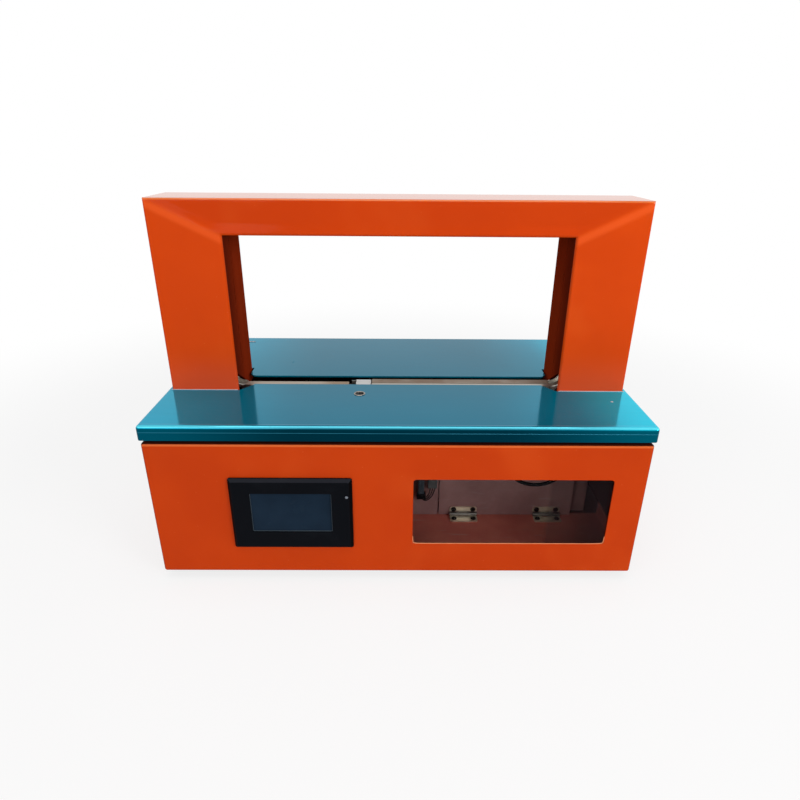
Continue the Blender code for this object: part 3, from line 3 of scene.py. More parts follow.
import logging
import math
from dataclasses import dataclass
from enum import Enum
from typing import Callable, ClassVar, Iterable, Optional, Sequence, Union

import bmesh
import bpy
from mathutils import Matrix, Vector


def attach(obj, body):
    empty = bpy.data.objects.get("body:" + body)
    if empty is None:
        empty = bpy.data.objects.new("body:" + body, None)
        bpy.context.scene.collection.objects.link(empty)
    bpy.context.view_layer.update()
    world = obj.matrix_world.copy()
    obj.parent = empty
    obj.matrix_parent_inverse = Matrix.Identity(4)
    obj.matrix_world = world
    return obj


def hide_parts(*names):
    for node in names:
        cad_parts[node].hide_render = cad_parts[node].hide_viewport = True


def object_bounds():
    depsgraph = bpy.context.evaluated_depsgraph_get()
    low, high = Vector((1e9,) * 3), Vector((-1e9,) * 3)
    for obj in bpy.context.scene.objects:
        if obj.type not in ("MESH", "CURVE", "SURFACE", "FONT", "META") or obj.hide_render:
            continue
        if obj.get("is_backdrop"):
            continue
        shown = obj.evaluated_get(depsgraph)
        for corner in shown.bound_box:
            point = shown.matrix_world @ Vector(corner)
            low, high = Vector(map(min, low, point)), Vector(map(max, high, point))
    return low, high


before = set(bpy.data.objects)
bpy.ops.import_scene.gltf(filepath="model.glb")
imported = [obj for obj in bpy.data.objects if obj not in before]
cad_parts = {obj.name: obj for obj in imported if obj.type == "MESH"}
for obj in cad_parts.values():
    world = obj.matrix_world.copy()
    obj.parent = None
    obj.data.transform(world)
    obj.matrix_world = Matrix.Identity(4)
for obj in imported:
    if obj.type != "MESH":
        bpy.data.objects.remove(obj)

LOG = logging.getLogger("strapping_machine")
MM = 0.001
ROOT = "machine"
WHITE = (1.0, 1.0, 1.0, 1.0)
SOFT_ANGLE = 38.0
CRISP_ANGLE = 30.0
DOME_ANGLE = 60.0
SMALL_STEPS = 24
NOISE_ROUGHNESS = 0.55

Point = tuple[float, float, float]
Pair = tuple[float, float]
Colour = tuple[int, int, int]


# Shader maths

def linear(colour: Colour) -> tuple[float, float, float, float]:
    """Turns an sRGB colour into the linear colour that a socket takes.

    Args:
        colour: Red, green and blue from 0 to 255.

    Returns:
        Linear red, green and blue, and an alpha of 1.
    """
    shares = [channel / 255 for channel in colour]
    made = [s / 12.92 if s <= 0.04045 else ((s + 0.055) / 1.055) ** 2.4 for s in shares]
    return (made[0], made[1], made[2], 1.0)


Operand = Union["Value", float]


class Value:
    """A shader socket that Python's operators build Math nodes on."""

    def __init__(self, shader: "Shader", socket: bpy.types.NodeSocket) -> None:
        """Wraps one output socket of a shader's tree."""
        self.shader = shader
        self.socket = socket

    def math(self, operation: str, *others: Operand) -> "Value":
        """Makes one Math node with this value as its first input.

        Args:
            operation: The Math node's operation.
            others: The node's other inputs.

        Returns:
            The node's result.
        """
        inputs = {0: self}
        inputs.update({index + 1: other for index, other in enumerate(others)})
        return self.shader.node("ShaderNodeMath", {"operation": operation}, inputs)

    def _reflected(self, operation: str, other: float) -> "Value":
        """Makes a Math node with a plain number as its first input."""
        return self.shader.node("ShaderNodeMath", {"operation": operation}, {0: other, 1: self})

    def __add__(self, other: Operand) -> "Value":
        """Sum."""
        return self.math("ADD", other)

    def __radd__(self, other: float) -> "Value":
        """Sum with a number on the left."""
        return self.math("ADD", other)

    def __sub__(self, other: Operand) -> "Value":
        """Difference."""
        return self.math("SUBTRACT", other)

    def __rsub__(self, other: float) -> "Value":
        """Difference from a number on the left."""
        return self._reflected("SUBTRACT", other)

    def __mul__(self, other: Operand) -> "Value":
        """Product."""
        return self.math("MULTIPLY", other)

    def __rmul__(self, other: float) -> "Value":
        """Product with a number on the left."""
        return self.math("MULTIPLY", other)

    def absolute(self) -> "Value":
        """Size of this value without its sign."""
        return self.math("ABSOLUTE")

    def step(self, low: float, high: float) -> "Value":
        """Soft step from nought at low to one at high.

        Args:
            low: The value at which the step starts.
            high: The value at which the step ends.

        Returns:
            The step, clamped to 0 and 1.
        """
        return self.shader.node("ShaderNodeMapRange", {"interpolation_type": "SMOOTHSTEP"},
                                {"Value": self, "From Min": low, "From Max": high})


class Shader:
    """One material's node tree, with the few calls that every finish is written in."""

    def __init__(self, name: str) -> None:
        """Starts an empty material.

        Args:
            name: The material's name.
        """
        self.material = bpy.data.materials.new(name)
        self.material.use_nodes = True
        self.tree = self.material.node_tree
        self.tree.nodes.clear()
        self.output = self.tree.nodes.new("ShaderNodeOutputMaterial")
        self._place: Optional[Value] = None

    def node(self, kind: str, settings: dict, inputs: dict, output: Union[int, str] = 0) -> Value:
        """Makes any node: its settings first, then the values or links of its sockets.

        Args:
            kind: The node's type.
            settings: Settings of the node; "stops" holds a colour ramp's stops.
            inputs: Socket names or numbers, each with a value or a Value.
            output: Name or number of the output that is wanted.

        Returns:
            The wanted output.
        """
        made = self.tree.nodes.new(kind)
        for key, setting in settings.items():
            if key == "stops":
                elements = made.color_ramp.elements
                while len(elements) < len(setting):
                    elements.new(1.0)
                for element, (place, colour) in zip(elements, setting):
                    element.position = place
                    element.color = colour
            else:
                setattr(made, key, setting)
        for key, value in inputs.items():
            socket = made.inputs[key]
            if isinstance(value, Value):
                self.tree.links.new(value.socket, socket)
            else:
                socket.default_value = value
        return Value(self, made.outputs[output])

    def place(self) -> Value:
        """Place on the piece in metres, in the machine's own frame.

        Returns:
            The place, from one node that the whole tree shares.
        """
        if self._place is None:
            self._place = self.node("ShaderNodeTexCoord", {}, {}, "Object")
        return self._place

    def along(self, axis: str) -> Value:
        """One coordinate of the place, X, Y or Z."""
        return self.node("ShaderNodeSeparateXYZ", {}, {0: self.place()}, axis)

    def stretched(self, scale: Point) -> Value:
        """Place with each of its axes scaled.

        Args:
            scale: Factor along X, Y and Z.

        Returns:
            The scaled place.
        """
        return self.node("ShaderNodeVectorMath", {"operation": "MULTIPLY"}, {0: self.place(), 1: scale})

    def noise(self, scale: float, detail: float = 2.0, stretch: Optional[Point] = None) -> Value:
        """Cloudy noise from 0 to 1.

        Args:
            scale: Clouds per metre.
            detail: Number of finer layers.
            stretch: Factors that draw the clouds out along an axis.

        Returns:
            The noise.
        """
        where = self.place() if stretch is None else self.stretched(stretch)
        return self.node("ShaderNodeTexNoise", {}, {"Vector": where, "Scale": scale, "Detail": detail,
                                                   "Roughness": NOISE_ROUGHNESS}, "Fac")

    def spots(self, scale: float, size: float) -> Value:
        """Scattered round spots, one at the middle of each.

        Args:
            scale: Spots per metre.
            size: Radius of a spot as a share of their pitch.

        Returns:
            One in a spot, falling softly to nought at its edge.
        """
        away = self.node("ShaderNodeTexVoronoi", {}, {"Vector": self.place(), "Scale": scale}, "Distance")
        return 1.0 - away.step(size * 0.6, size)

    def blend(self, factor: Operand, first: Union[Value, tuple], second: Union[Value, tuple]) -> Value:
        """Mixes two colours.

        Args:
            factor: Share of the second colour.
            first: Colour at a factor of nought.
            second: Colour at a factor of one.

        Returns:
            The mixed colour.
        """
        made = self.tree.nodes.new("ShaderNodeMix")
        made.data_type = "RGBA"
        for socket, value in ((made.inputs[0], factor), (made.inputs[6], first), (made.inputs[7], second)):
            if isinstance(value, Value):
                self.tree.links.new(value.socket, socket)
            else:
                socket.default_value = value
        return Value(self, made.outputs[2])

    def bump(self, height: Value, distance: float, under: Optional[Value] = None) -> Value:
        """Bumped normal from a height.

        Args:
            height: Height from 0 to 1.
            distance: Depth in metres that a height of one stands for.
            under: Another bump that this one lies on.

        Returns:
            The normal.
        """
        inputs = {"Height": height, "Distance": distance, "Strength": 1.0}
        if under is not None:
            inputs["Normal"] = under
        return self.node("ShaderNodeBump", {}, inputs, "Normal")

    def surface(self, **inputs: Union[Operand, tuple]) -> bpy.types.Material:
        """Ends the tree in a Principled shader.

        Args:
            inputs: Values or links of its sockets, with _ for the spaces in their names.

        Returns:
            The finished material.
        """
        named = {key.replace("_", " "): value for key, value in inputs.items()}
        made = self.node("ShaderNodeBsdfPrincipled", {}, named, "BSDF")
        self.tree.links.new(made.socket, self.output.inputs["Surface"])
        return self.material


# Finishes

@dataclass(frozen=True)
class PowderCoat:
    """Sprayed and baked coat on sheet steel: fine orange peel under a gloss, with dust in it."""

    colour: Colour = (196, 62, 8)
    shade: Colour = (186, 55, 6)
    light: Colour = (204, 74, 20)
    gloss: float = 0.12
    peel: float = 0.00003
    dust: Colour = (226, 128, 84)
    roughness: float = 0.34
    cloud_scale: float = 7.0
    bloom_scale: float = 12.0
    wave_scale: float = 45.0
    wave: float = 0.0001
    dust_scale: float = 85.0
    peel_scale: float = 1100.0
    grain_scale: float = 2600.0

    def tone(self, shader: Shader, base: Value) -> Value:
        """Changes the coat's colour where a kind of piece needs it; the plain coat has none."""
        return base

    def sheen(self, shader: Shader) -> Operand:
        """Weight of the clear gloss on top, the same all over the plain coat."""
        return self.gloss

    def make(self, name: str) -> bpy.types.Material:
        """Builds the coat's material.

        Args:
            name: The material's name.

        Returns:
            The material.
        """
        shader = Shader(name)
        cloud = shader.noise(self.cloud_scale, 3.0).step(0.35, 0.65)
        grain = shader.noise(self.grain_scale, 1.0)
        dust = shader.spots(self.dust_scale, 0.05)
        bloom = shader.noise(self.bloom_scale, 2.0).step(0.5, 0.8)
        base = shader.blend(cloud * 0.6, linear(self.colour), linear(self.shade))
        base = shader.blend(bloom * 0.5, base, linear(self.light))
        base = shader.blend(dust * 0.3, base, linear(self.dust))
        wave = shader.bump(shader.noise(self.wave_scale, 2.0), self.wave)
        peel = shader.bump(shader.noise(self.peel_scale, 1.0), self.peel, wave)
        return shader.surface(Base_Color=self.tone(shader, base), Coat_Roughness=0.1,
                              Roughness=self.roughness + 0.08 * cloud + 0.05 * grain + 0.2 * dust,
                              Coat_Weight=self.sheen(shader) - 0.1 * dust,
                              Specular_IOR_Level=0.0, Normal=peel)


@dataclass(frozen=True)
class PanelCoat(PowderCoat):
    """Coat of the body's panels: a painted highlight on the upper bend and painted shade inside the shell."""

    bend_line: float = 187.6 * MM
    # Painted highlight along the upper bend
    bend_highlight: Colour = (238, 124, 62)
    inner_half: Pair = (286.6 * MM, 154.1 * MM)
    # Painted shade over the inside faces of the shell
    unlit: Colour = (22, 14, 12)

    def tone(self, shader: Shader, base: Value) -> Value:
        """Paints a highlight on the bend line and shade over the inside of the shell.

        Args:
            shader: The material's shader.
            base: The coat's colour so far.

        Returns:
            The changed colour.
        """
        bent = 1.0 - (shader.along("Z") - self.bend_line).absolute().step(0.5 * MM, 1.8 * MM)
        base = shader.blend(bent * 0.6, base, linear(self.bend_highlight))
        across, depth = shader.along("X").absolute(), shader.along("Y").absolute()
        within = 1.0 - across.step(self.inner_half[0], self.inner_half[0] + 0.3 * MM)
        within = within * (1.0 - depth.step(self.inner_half[1], self.inner_half[1] + 0.3 * MM))
        return shader.blend(within * 0.92, base, linear(self.unlit))


@dataclass(frozen=True)
class ArchCoat(PowderCoat):
    """Coat of the arch: thick and glossy on its top, with painted highlights and painted shade.

    A painted pale highlight lies on its top face and beside each mitre, and painted shade over the beam.
    Its orange is brighter than the panels' coat of the same paint: painted light.
    The legs are a little paler just above the table.
    """

    # Brighter than the panels' coat of the same paint: painted light
    colour: Colour = (214, 70, 8)
    shade: Colour = (202, 62, 6)
    light: Colour = (220, 84, 24)
    # Painted highlight beside each mitre, painted shade over the beam and a painted pale highlight on the top
    # face
    mitre_highlight: Colour = (244, 98, 40)
    beam: Colour = (186, 50, 4)
    crown_highlight: Colour = (250, 158, 50)
    foot: Colour = (226, 86, 58)
    foot_from: float = 214.0 * MM
    foot_to: float = 268.0 * MM
    inner_corner: Pair = (200.0 * MM, 400.5 * MM)
    outer_corner: Pair = (283.0 * MM, 440.5 * MM)

    def crown(self, shader: Shader) -> Value:
        """One on the arch's top face, nought below it."""
        top = self.outer_corner[1]
        return shader.along("Z").step(top - 2.5 * MM, top - 1.0 * MM)

    def tone(self, shader: Shader, base: Value) -> Value:
        """Paints a highlight beside each mitre and on the top face, and shade over the beam's side.

        Args:
            shader: The material's shader.
            base: The coat's colour so far.

        Returns:
            The changed colour.
        """
        run = self.outer_corner[0] - self.inner_corner[0]
        rise = self.outer_corner[1] - self.inner_corner[1]
        length = math.hypot(run, rise)
        out = shader.along("X").absolute() - self.inner_corner[0]
        above = shader.along("Z") - self.inner_corner[1]
        away = above * (run / length) - out * (rise / length)
        band = 1.0 - (away + 4.5 * MM).absolute().step(1.0 * MM, 7.0 * MM)
        band = band * out.step(-4.0 * MM, 4.0 * MM)
        base = shader.blend(away.step(-1.0 * MM, 5.0 * MM) * 0.42, base, linear(self.beam))
        base = shader.blend(band * 0.44, base, linear(self.mitre_highlight))
        lower = 1.0 - shader.along("Z").step(self.foot_from, self.foot_to)
        base = shader.blend(lower * 0.4, base, linear(self.foot))
        return shader.blend(self.crown(shader) * 0.3, base, linear(self.crown_highlight))

    def sheen(self, shader: Shader) -> Operand:
        """Full gloss on the top face and the plain gloss below it."""
        return self.gloss + (1.0 - self.gloss) * self.crown(shader)


@dataclass(frozen=True)
class InnerCoat(PowderCoat):
    """Dull coat round the arch's opening, darkened with painted shade, most towards the front."""

    # Darker than the arch's coat of the same paint: painted shade round the opening
    colour: Colour = (144, 44, 16)
    shade: Colour = (118, 33, 11)
    light: Colour = (150, 50, 18)
    gloss: float = 0.0
    front: float = -52.0 * MM
    back: float = -6.0 * MM
    front_shade: Colour = (56, 14, 10)

    def tone(self, shader: Shader, base: Value) -> Value:
        """Paints shade over the coat, darkest towards the front."""
        near = 1.0 - shader.along("Y").step(self.front, self.back)
        return shader.blend(near * 0.6, base, linear(self.front_shade))


@dataclass(frozen=True)
class ProtectiveFilm:
    """Blue peel-off film on stainless sheet: rolling lines, small bubbles, an edge line and painted
    reflections.
    """

    middle: Colour = (0, 118, 146)
    # Painted reflections: brighter towards both ends, brightest at the right end
    ends: Colour = (0, 170, 204)
    right_end_reflection: Colour = (0, 222, 252)
    # Painted dark reflection on the front skirt, lighter towards its ends
    skirt_reflection: Colour = (0, 38, 51)
    skirt_end_reflection: Colour = (0, 69, 87)
    # Painted highlight along the front bend
    bend: Colour = (110, 226, 240)
    cloudy: Colour = (0, 88, 116)
    speck: Colour = (120, 176, 190)
    edge: Colour = (50, 130, 156)
    # Painted reflection in a line just behind the front bend
    bend_start_glint: Colour = (150, 178, 200)
    gloss: float = 0.26
    end_loss: float = 0.08
    tip_loss: float = 0.06
    front: float = -158.0 * MM
    half_length: float = 288.5 * MM
    top: float = 213.0 * MM
    edge_drop: float = 8.0 * MM
    roughness: float = 0.07
    metallic: float = 0.5
    line_scale: float = 22.0
    line_depth: float = 0.00002
    cloud_scale: float = 11.0
    wave_scale: float = 24.0
    wave_depth: float = 0.00012
    bubble_scale: float = 38.0
    bubble_depth: float = 0.00015
    speck_scale: float = 140.0

    def make(self, name: str) -> bpy.types.Material:
        """Builds the film's material.

        Args:
            name: The material's name.

        Returns:
            The material.
        """
        shader = Shader(name)
        reach = shader.along("X").absolute().step(self.half_length * 0.35, self.half_length)
        height = shader.along("Z")
        lines = shader.noise(self.line_scale, 3.0, (1.0, 9.0, 9.0))
        cloud = shader.noise(self.cloud_scale, 4.0)
        bubbles = shader.spots(self.bubble_scale, 0.035)
        specks = shader.spots(self.speck_scale, 0.045)
        tip = shader.along("X").step(self.half_length * 0.68, self.half_length * 1.02)
        # Painted reflections brighten the film towards its ends
        base = shader.blend(reach, linear(self.middle), linear(self.ends))
        base = shader.blend(tip, base, linear(self.right_end_reflection))
        base = shader.blend(0.14 * lines + 0.2 * cloud, base, linear(self.cloudy))
        base = shader.blend(specks * 0.3, base, linear(self.speck))
        # The skirt below the bend takes a painted dark reflection
        low = 1.0 - height.step(self.top - 4.0 * MM, self.top - 1.5 * MM)
        skirt_reflection = shader.blend(reach, linear(self.skirt_reflection), linear(self.skirt_end_reflection))
        base = shader.blend(low * 0.95, base, skirt_reflection)
        forward = 1.0 - shader.along("Y").step(self.front + 2.2 * MM, self.front + 3.2 * MM)
        # Painted reflection where the front bend starts
        bend_start_glint = (shader.along("Y") - (self.front + 5.2 * MM)).absolute().step(0.3 * MM, 0.9 * MM)
        base = shader.blend((1.0 - bend_start_glint) * 0.3, base, linear(self.bend_start_glint))
        # Painted highlight along the front bend, brighter towards the ends
        bent = forward * height.step(self.top - 2.6 * MM, self.top - 1.6 * MM)
        base = shader.blend(bent * (0.35 + 0.3 * reach), base, linear(self.bend))
        edge = 1.0 - (height - (self.top - self.edge_drop)).absolute().step(0.2 * MM, 0.45 * MM)
        base = shader.blend(edge * 0.6, base, linear(self.edge))
        rough = self.roughness + 0.05 * cloud + 0.04 * lines + 0.15 * bubbles
        rolled = shader.bump(lines, self.line_depth)
        wavy = shader.bump(shader.noise(self.wave_scale, 2.0), self.wave_depth, rolled)
        raised = shader.bump(bubbles + edge, self.bubble_depth, wavy)
        coat = self.gloss - self.gloss * low - self.end_loss * reach - self.tip_loss * tip
        return shader.surface(Base_Color=base, Roughness=rough, Metallic=self.metallic, Coat_Weight=coat,
                              Coat_Roughness=0.05, Specular_IOR_Level=0.0, Normal=raised)


class Grain(Enum):
    """Direction that a metal's brushed lines run in, as the stretch of their noise."""

    LENGTHWISE = (0.04, 1.0, 1.0)
    TURNED = (1.0, 0.04, 1.0)


@dataclass(frozen=True)
class BrushedMetal:
    """Bare or plated metal with brushed lines, smudges and small pits."""

    colour: Colour = (150, 146, 140)
    stain: Colour = (104, 98, 90)
    roughness: float = 0.34
    grain: Grain = Grain.LENGTHWISE
    line_scale: float = 900.0
    smudge_scale: float = 40.0
    pit_scale: float = 420.0
    depth: float = 0.00003

    def make(self, name: str) -> bpy.types.Material:
        """Builds the metal's material.

        Args:
            name: The material's name.

        Returns:
            The material.
        """
        shader = Shader(name)
        lines = shader.noise(self.line_scale, 2.0, self.grain.value)
        smudge = shader.noise(self.smudge_scale, 4.0).step(0.42, 0.7)
        pits = shader.spots(self.pit_scale, 0.12)
        base = shader.blend(0.25 * lines + 0.45 * smudge, linear(self.colour), linear(self.stain))
        normal = shader.bump(lines - 0.6 * pits, self.depth)
        return shader.surface(Base_Color=base, Metallic=1.0,
                              Roughness=self.roughness - 0.06 + 0.14 * lines + 0.16 * smudge, Normal=normal)


@dataclass(frozen=True)
class TapeWorn:
    """Track steel polished by paper tape, with brown paper dust left in a strip of it."""

    polished: Colour = (206, 202, 192)
    dusty: Colour = (150, 118, 84)
    strip_front: float = -32.0 * MM
    strip_back: float = -13.5 * MM
    dust_share: float = 0.8
    scuffed: Colour = (150, 146, 138)
    strip_soft: float = 0.3 * MM
    roughness: float = 0.26
    scuff_scale: float = 520.0
    patch_scale: float = 26.0
    depth: float = 0.00004

    def make(self, name: str) -> bpy.types.Material:
        """Builds the track's material.

        Args:
            name: The material's name.

        Returns:
            The material.
        """
        shader = Shader(name)
        depth = shader.along("Y")
        soft = self.strip_soft
        inside = depth.step(self.strip_front - soft, self.strip_front + soft)
        inside = inside * (1.0 - depth.step(self.strip_back - soft, self.strip_back + soft))
        scuffs = shader.noise(self.scuff_scale, 3.0, (0.05, 1.0, 0.3))
        patches = shader.noise(self.patch_scale, 4.0).step(0.3, 0.7)
        dust = inside * (0.55 + 0.45 * patches) * self.dust_share
        base = shader.blend(0.3 * scuffs, linear(self.polished), linear(self.scuffed))
        base = shader.blend(dust, base, linear(self.dusty))
        return shader.surface(Base_Color=base, Metallic=1.0 - 0.75 * dust,
                              Roughness=self.roughness + 0.16 * scuffs + 0.3 * dust,
                              Normal=shader.bump(scuffs, self.depth))


@dataclass(frozen=True)
class CoatedSheet:
    """Thin matt coat on an inner sheet, with fingermarks, scratches and dust, and painted shade behind a
    given depth.
    """

    colour: Colour = (190, 150, 146)
    shade: Colour = (158, 122, 120)
    roughness: float = 0.46
    metallic: float = 0.1
    specular: float = 0.12
    # Painted shade: near black behind this depth, where little light reaches
    hidden_shade_from: float = 1.0
    hidden_shade: Colour = (20, 16, 15)
    scratched: Colour = (196, 184, 178)
    hidden_shade_run: float = 6.0 * MM
    cloud_scale: float = 16.0
    scratch_scale: float = 180.0
    dust_scale: float = 160.0
    grain_scale: float = 1500.0
    depth: float = 0.00003

    def make(self, name: str) -> bpy.types.Material:
        """Builds the coat's material.

        Args:
            name: The material's name.

        Returns:
            The material.
        """
        shader = Shader(name)
        cloud = shader.noise(self.cloud_scale, 5.0)
        scratches = shader.noise(self.scratch_scale, 3.0, (0.12, 1.0, 1.0)).step(0.62, 0.7)
        dust = shader.spots(self.dust_scale, 0.06)
        base = shader.blend(cloud.step(0.3, 0.7), linear(self.colour), linear(self.shade))
        base = shader.blend(scratches * 0.2 + dust * 0.3, base, linear(self.scratched))
        # Painted shade darkens the sheet behind the given depth
        behind = shader.along("Y").step(self.hidden_shade_from, self.hidden_shade_from + self.hidden_shade_run)
        base = shader.blend(behind * 0.9, base, linear(self.hidden_shade))
        normal = shader.bump(shader.noise(self.grain_scale, 1.0) - scratches, self.depth)
        return shader.surface(Base_Color=base, Metallic=self.metallic, Specular_IOR_Level=self.specular,
                              Roughness=self.roughness + 0.15 * (cloud - 0.5) + 0.1 * dust, Normal=normal)


@dataclass(frozen=True)
class MouldedPlastic:
    """Moulded plastic or rubber with a fine spark-eroded grain and handling marks."""

    colour: Colour = (8, 10, 15)
    worn: Colour = (20, 23, 28)
    roughness: float = 0.42
    specular: float = 0.03
    grain: float = 0.00005
    grain_scale: float = 1900.0
    mark_scale: float = 32.0
    speck_scale: float = 260.0

    def make(self, name: str) -> bpy.types.Material:
        """Builds the plastic's material.

        Args:
            name: The material's name.

        Returns:
            The material.
        """
        shader = Shader(name)
        eroded = shader.noise(self.grain_scale, 2.0)
        marks = shader.noise(self.mark_scale, 5.0).step(0.5, 0.75)
        specks = shader.spots(self.speck_scale, 0.08)
        base = shader.blend(0.35 * marks + 0.3 * specks, linear(self.colour), linear(self.worn))
        return shader.surface(Base_Color=base, Specular_IOR_Level=self.specular,
                              Roughness=self.roughness + 0.1 * eroded + 0.12 * marks,
                              Normal=shader.bump(eroded, self.grain))


@dataclass(frozen=True)
class TouchGlass:
    """Dark touch panel: a lit grey-blue that is faintly uneven, under a hard clear skin."""

    colour: Colour = (16, 30, 44)
    bright: Colour = (24, 40, 56)
    cell: Colour = (44, 62, 80)
    roughness: float = 0.14
    cloud_scale: float = 14.0
    cell_scale: float = 3200.0
    print_scale: float = 60.0
    print_depth: float = 0.000005

    def make(self, name: str) -> bpy.types.Material:
        """Builds the panel's material.

        Args:
            name: The material's name.

        Returns:
            The material.
        """
        shader = Shader(name)
        cloud = shader.noise(self.cloud_scale, 3.0)
        cells = shader.noise(self.cell_scale, 0.0)
        prints = shader.noise(self.print_scale, 5.0).step(0.5, 0.72)
        base = shader.blend(cloud.step(0.3, 0.75), linear(self.colour), linear(self.bright))
        base = shader.blend(0.1 * cells, base, linear(self.cell))
        return shader.surface(Base_Color=base, Specular_IOR_Level=0.03,
                              Roughness=self.roughness + 0.2 * prints,
                              Normal=shader.bump(prints, self.print_depth))


@dataclass(frozen=True)
class SmokedSheet:
    """Tinted clear sheet with wiping marks and dust, seen through, with painted shade over its right part."""

    tint: Colour = (20, 8, 12)
    dust: Colour = (110, 96, 96)
    cover: float = 0.08
    # Painted shade: more tint over the view through the window's right part
    painted_shade_from: float = 174.0 * MM
    painted_shade_to: float = 181.0 * MM
    painted_shade_share: float = 0.18
    end_from: float = 200.0 * MM
    end_to: float = 240.0 * MM
    roughness: float = 0.05
    wipe_scale: float = 24.0
    dust_scale: float = 190.0

    def make(self, name: str) -> bpy.types.Material:
        """Builds the clear sheet's material.

        Args:
            name: The material's name.

        Returns:
            The material.
        """
        shader = Shader(name)
        wipes = shader.noise(self.wipe_scale, 4.0, (1.0, 1.0, 0.3))
        dust = shader.spots(self.dust_scale, 0.05)
        across = shader.along("X")
        # Painted shade thickens the tint towards the window's right end
        painted_shade = across.step(self.painted_shade_from, self.painted_shade_to) + across.step(self.end_from, self.end_to)
        base = shader.blend(dust * 0.4, linear(self.tint), linear(self.dust))
        cover = self.cover + self.painted_shade_share * painted_shade + 0.06 * (wipes - 0.5) + 0.15 * dust
        return shader.surface(Base_Color=base, Alpha=cover, Specular_IOR_Level=0.08,
                              Roughness=self.roughness + 0.06 * wipes)


@dataclass(frozen=True)
class PressedBoard:
    """Grey-brown pressed board of the tape reel, with its fibres."""

    colour: Colour = (176, 152, 112)
    fibre: Colour = (120, 98, 68)
    roughness: float = 0.75
    fibre_scale: float = 700.0
    fibre_depth: float = 0.0001
    cloud_scale: float = 30.0

    def make(self, name: str) -> bpy.types.Material:
        """Builds the board's material.

        Args:
            name: The material's name.

        Returns:
            The material.
        """
        shader = Shader(name)
        fibres = shader.noise(self.fibre_scale, 4.0, (1.0, 1.0, 0.2))
        cloud = shader.noise(self.cloud_scale, 3.0)
        base = shader.blend(0.5 * fibres + 0.2 * cloud, linear(self.colour), linear(self.fibre))
        return shader.surface(Base_Color=base, Specular_IOR_Level=0.2,
                              Roughness=self.roughness + 0.1 * fibres,
                              Normal=shader.bump(fibres, self.fibre_depth))


@dataclass(frozen=True)
class SolderedBoard:
    """Green circuit board with copper lines under the lacquer."""

    lacquer: Colour = (16, 74, 44)
    copper: Colour = (58, 120, 70)
    pad: Colour = (190, 188, 176)
    roughness: float = 0.35
    across_scale: float = 400.0
    length_scale: float = 260.0
    pad_scale: float = 210.0
    depth: float = 0.00005

    def make(self, name: str) -> bpy.types.Material:
        """Builds the board's material.

        Args:
            name: The material's name.

        Returns:
            The material.
        """
        shader = Shader(name)
        across = (shader.along("X") * self.across_scale).math("FRACT").math("GREATER_THAN", 0.72)
        length = (shader.along("Y") * self.length_scale).math("FRACT").math("GREATER_THAN", 0.8)
        pads = shader.spots(self.pad_scale, 0.2)
        lines = (across + length).math("MINIMUM", 1.0) * shader.noise(40.0, 1.0).step(0.45, 0.55)
        base = shader.blend(lines * 0.7, linear(self.lacquer), linear(self.copper))
        base = shader.blend(pads * 0.8, base, linear(self.pad))
        return shader.surface(Base_Color=base, Roughness=self.roughness + 0.2 * pads,
                              Metallic=0.6 * pads, Normal=shader.bump(lines + pads, self.depth))


# Mesh tools

class Side(Enum):
    """A side of a folded box, as its axis and direction."""

    LEFT = (0, -1)
    RIGHT = (0, 1)
    FRONT = (1, -1)
    BACK = (1, 1)
    BOTTOM = (2, -1)
    TOP = (2, 1)


class Axis(Enum):
    """An axis of the machine's frame."""

    X = 0
    Y = 1
    Z = 2

    def point(self, across: float, up: float, along: float) -> Point:
        """Point from its place along this axis and the other two coordinates in order.

        Args:
            across: The first of the other two coordinates.
            up: The second of them.
            along: The place along this axis.

        Returns:
            The point.
        """
        spare = [across, up]
        spare.insert(self.value, along)
        return (spare[0], spare[1], spare[2])


def link(name: str, mesh: bpy.types.Mesh) -> bpy.types.Object:
    """Puts a mesh in the scene as an object.

    Args:
        name: The object's name.
        mesh: Its mesh, in the machine's frame.

    Returns:
        The object.
    """
    item = bpy.data.objects.new(name, mesh)
    bpy.context.scene.collection.objects.link(item)
    return item


def from_shape(name: str, shape: bmesh.types.BMesh, outward: bool = True) -> bpy.types.Object:
    """Turns a finished shape into an object and frees it.

    Args:
        name: The object's name.
        shape: The finished shape.
        outward: True to turn its faces outwards first.

    Returns:
        The object.
    """
    if outward:
        bmesh.ops.recalc_face_normals(shape, faces=shape.faces)
    mesh = bpy.data.meshes.new(name)
    shape.to_mesh(mesh)
    shape.free()
    return link(name, mesh)


def keep_result(item: bpy.types.Object) -> None:
    """Makes what an object's modifiers show its mesh, and removes the shapes that cut it.

    Args:
        item: The object.
    """
    graph = bpy.context.evaluated_depsgraph_get()
    mesh = bpy.data.meshes.new_from_object(item.evaluated_get(graph))
    tools = [step.object for step in item.modifiers if step.type == "BOOLEAN"]
    item.modifiers.clear()
    item.data = mesh
    for tool in tools:
        bpy.data.objects.remove(tool, do_unlink=True)


def settle(item: bpy.types.Object, angle: float = SOFT_ANGLE) -> bpy.types.Object:
    """Applies an object's modifiers, then shades it smooth but for its sharp edges.

    Args:
        item: The object.
        angle: Least angle of an edge that stays sharp, in degrees.

    Returns:
        The same object, with its final mesh.
    """
    keep_result(item)
    item.data.shade_smooth()
    item.data.set_sharp_from_angle(angle=math.radians(angle))
    weights = item.modifiers.new("weights", "WEIGHTED_NORMAL")
    weights.keep_sharp = True
    keep_result(item)
    return item


def carve(item: bpy.types.Object, tools: Iterable[bpy.types.Object], keep: bool = False) -> None:
    """Cuts tools out of an object, or joins them to it.

    Args:
        item: The object that is cut.
        tools: The shapes that cut it; settle removes them.
        keep: True to join the tools instead.
    """
    for tool in tools:
        step = item.modifiers.new("cut", "BOOLEAN")
        step.operation = "UNION" if keep else "DIFFERENCE"
        step.solver = "EXACT"
        step.object = tool


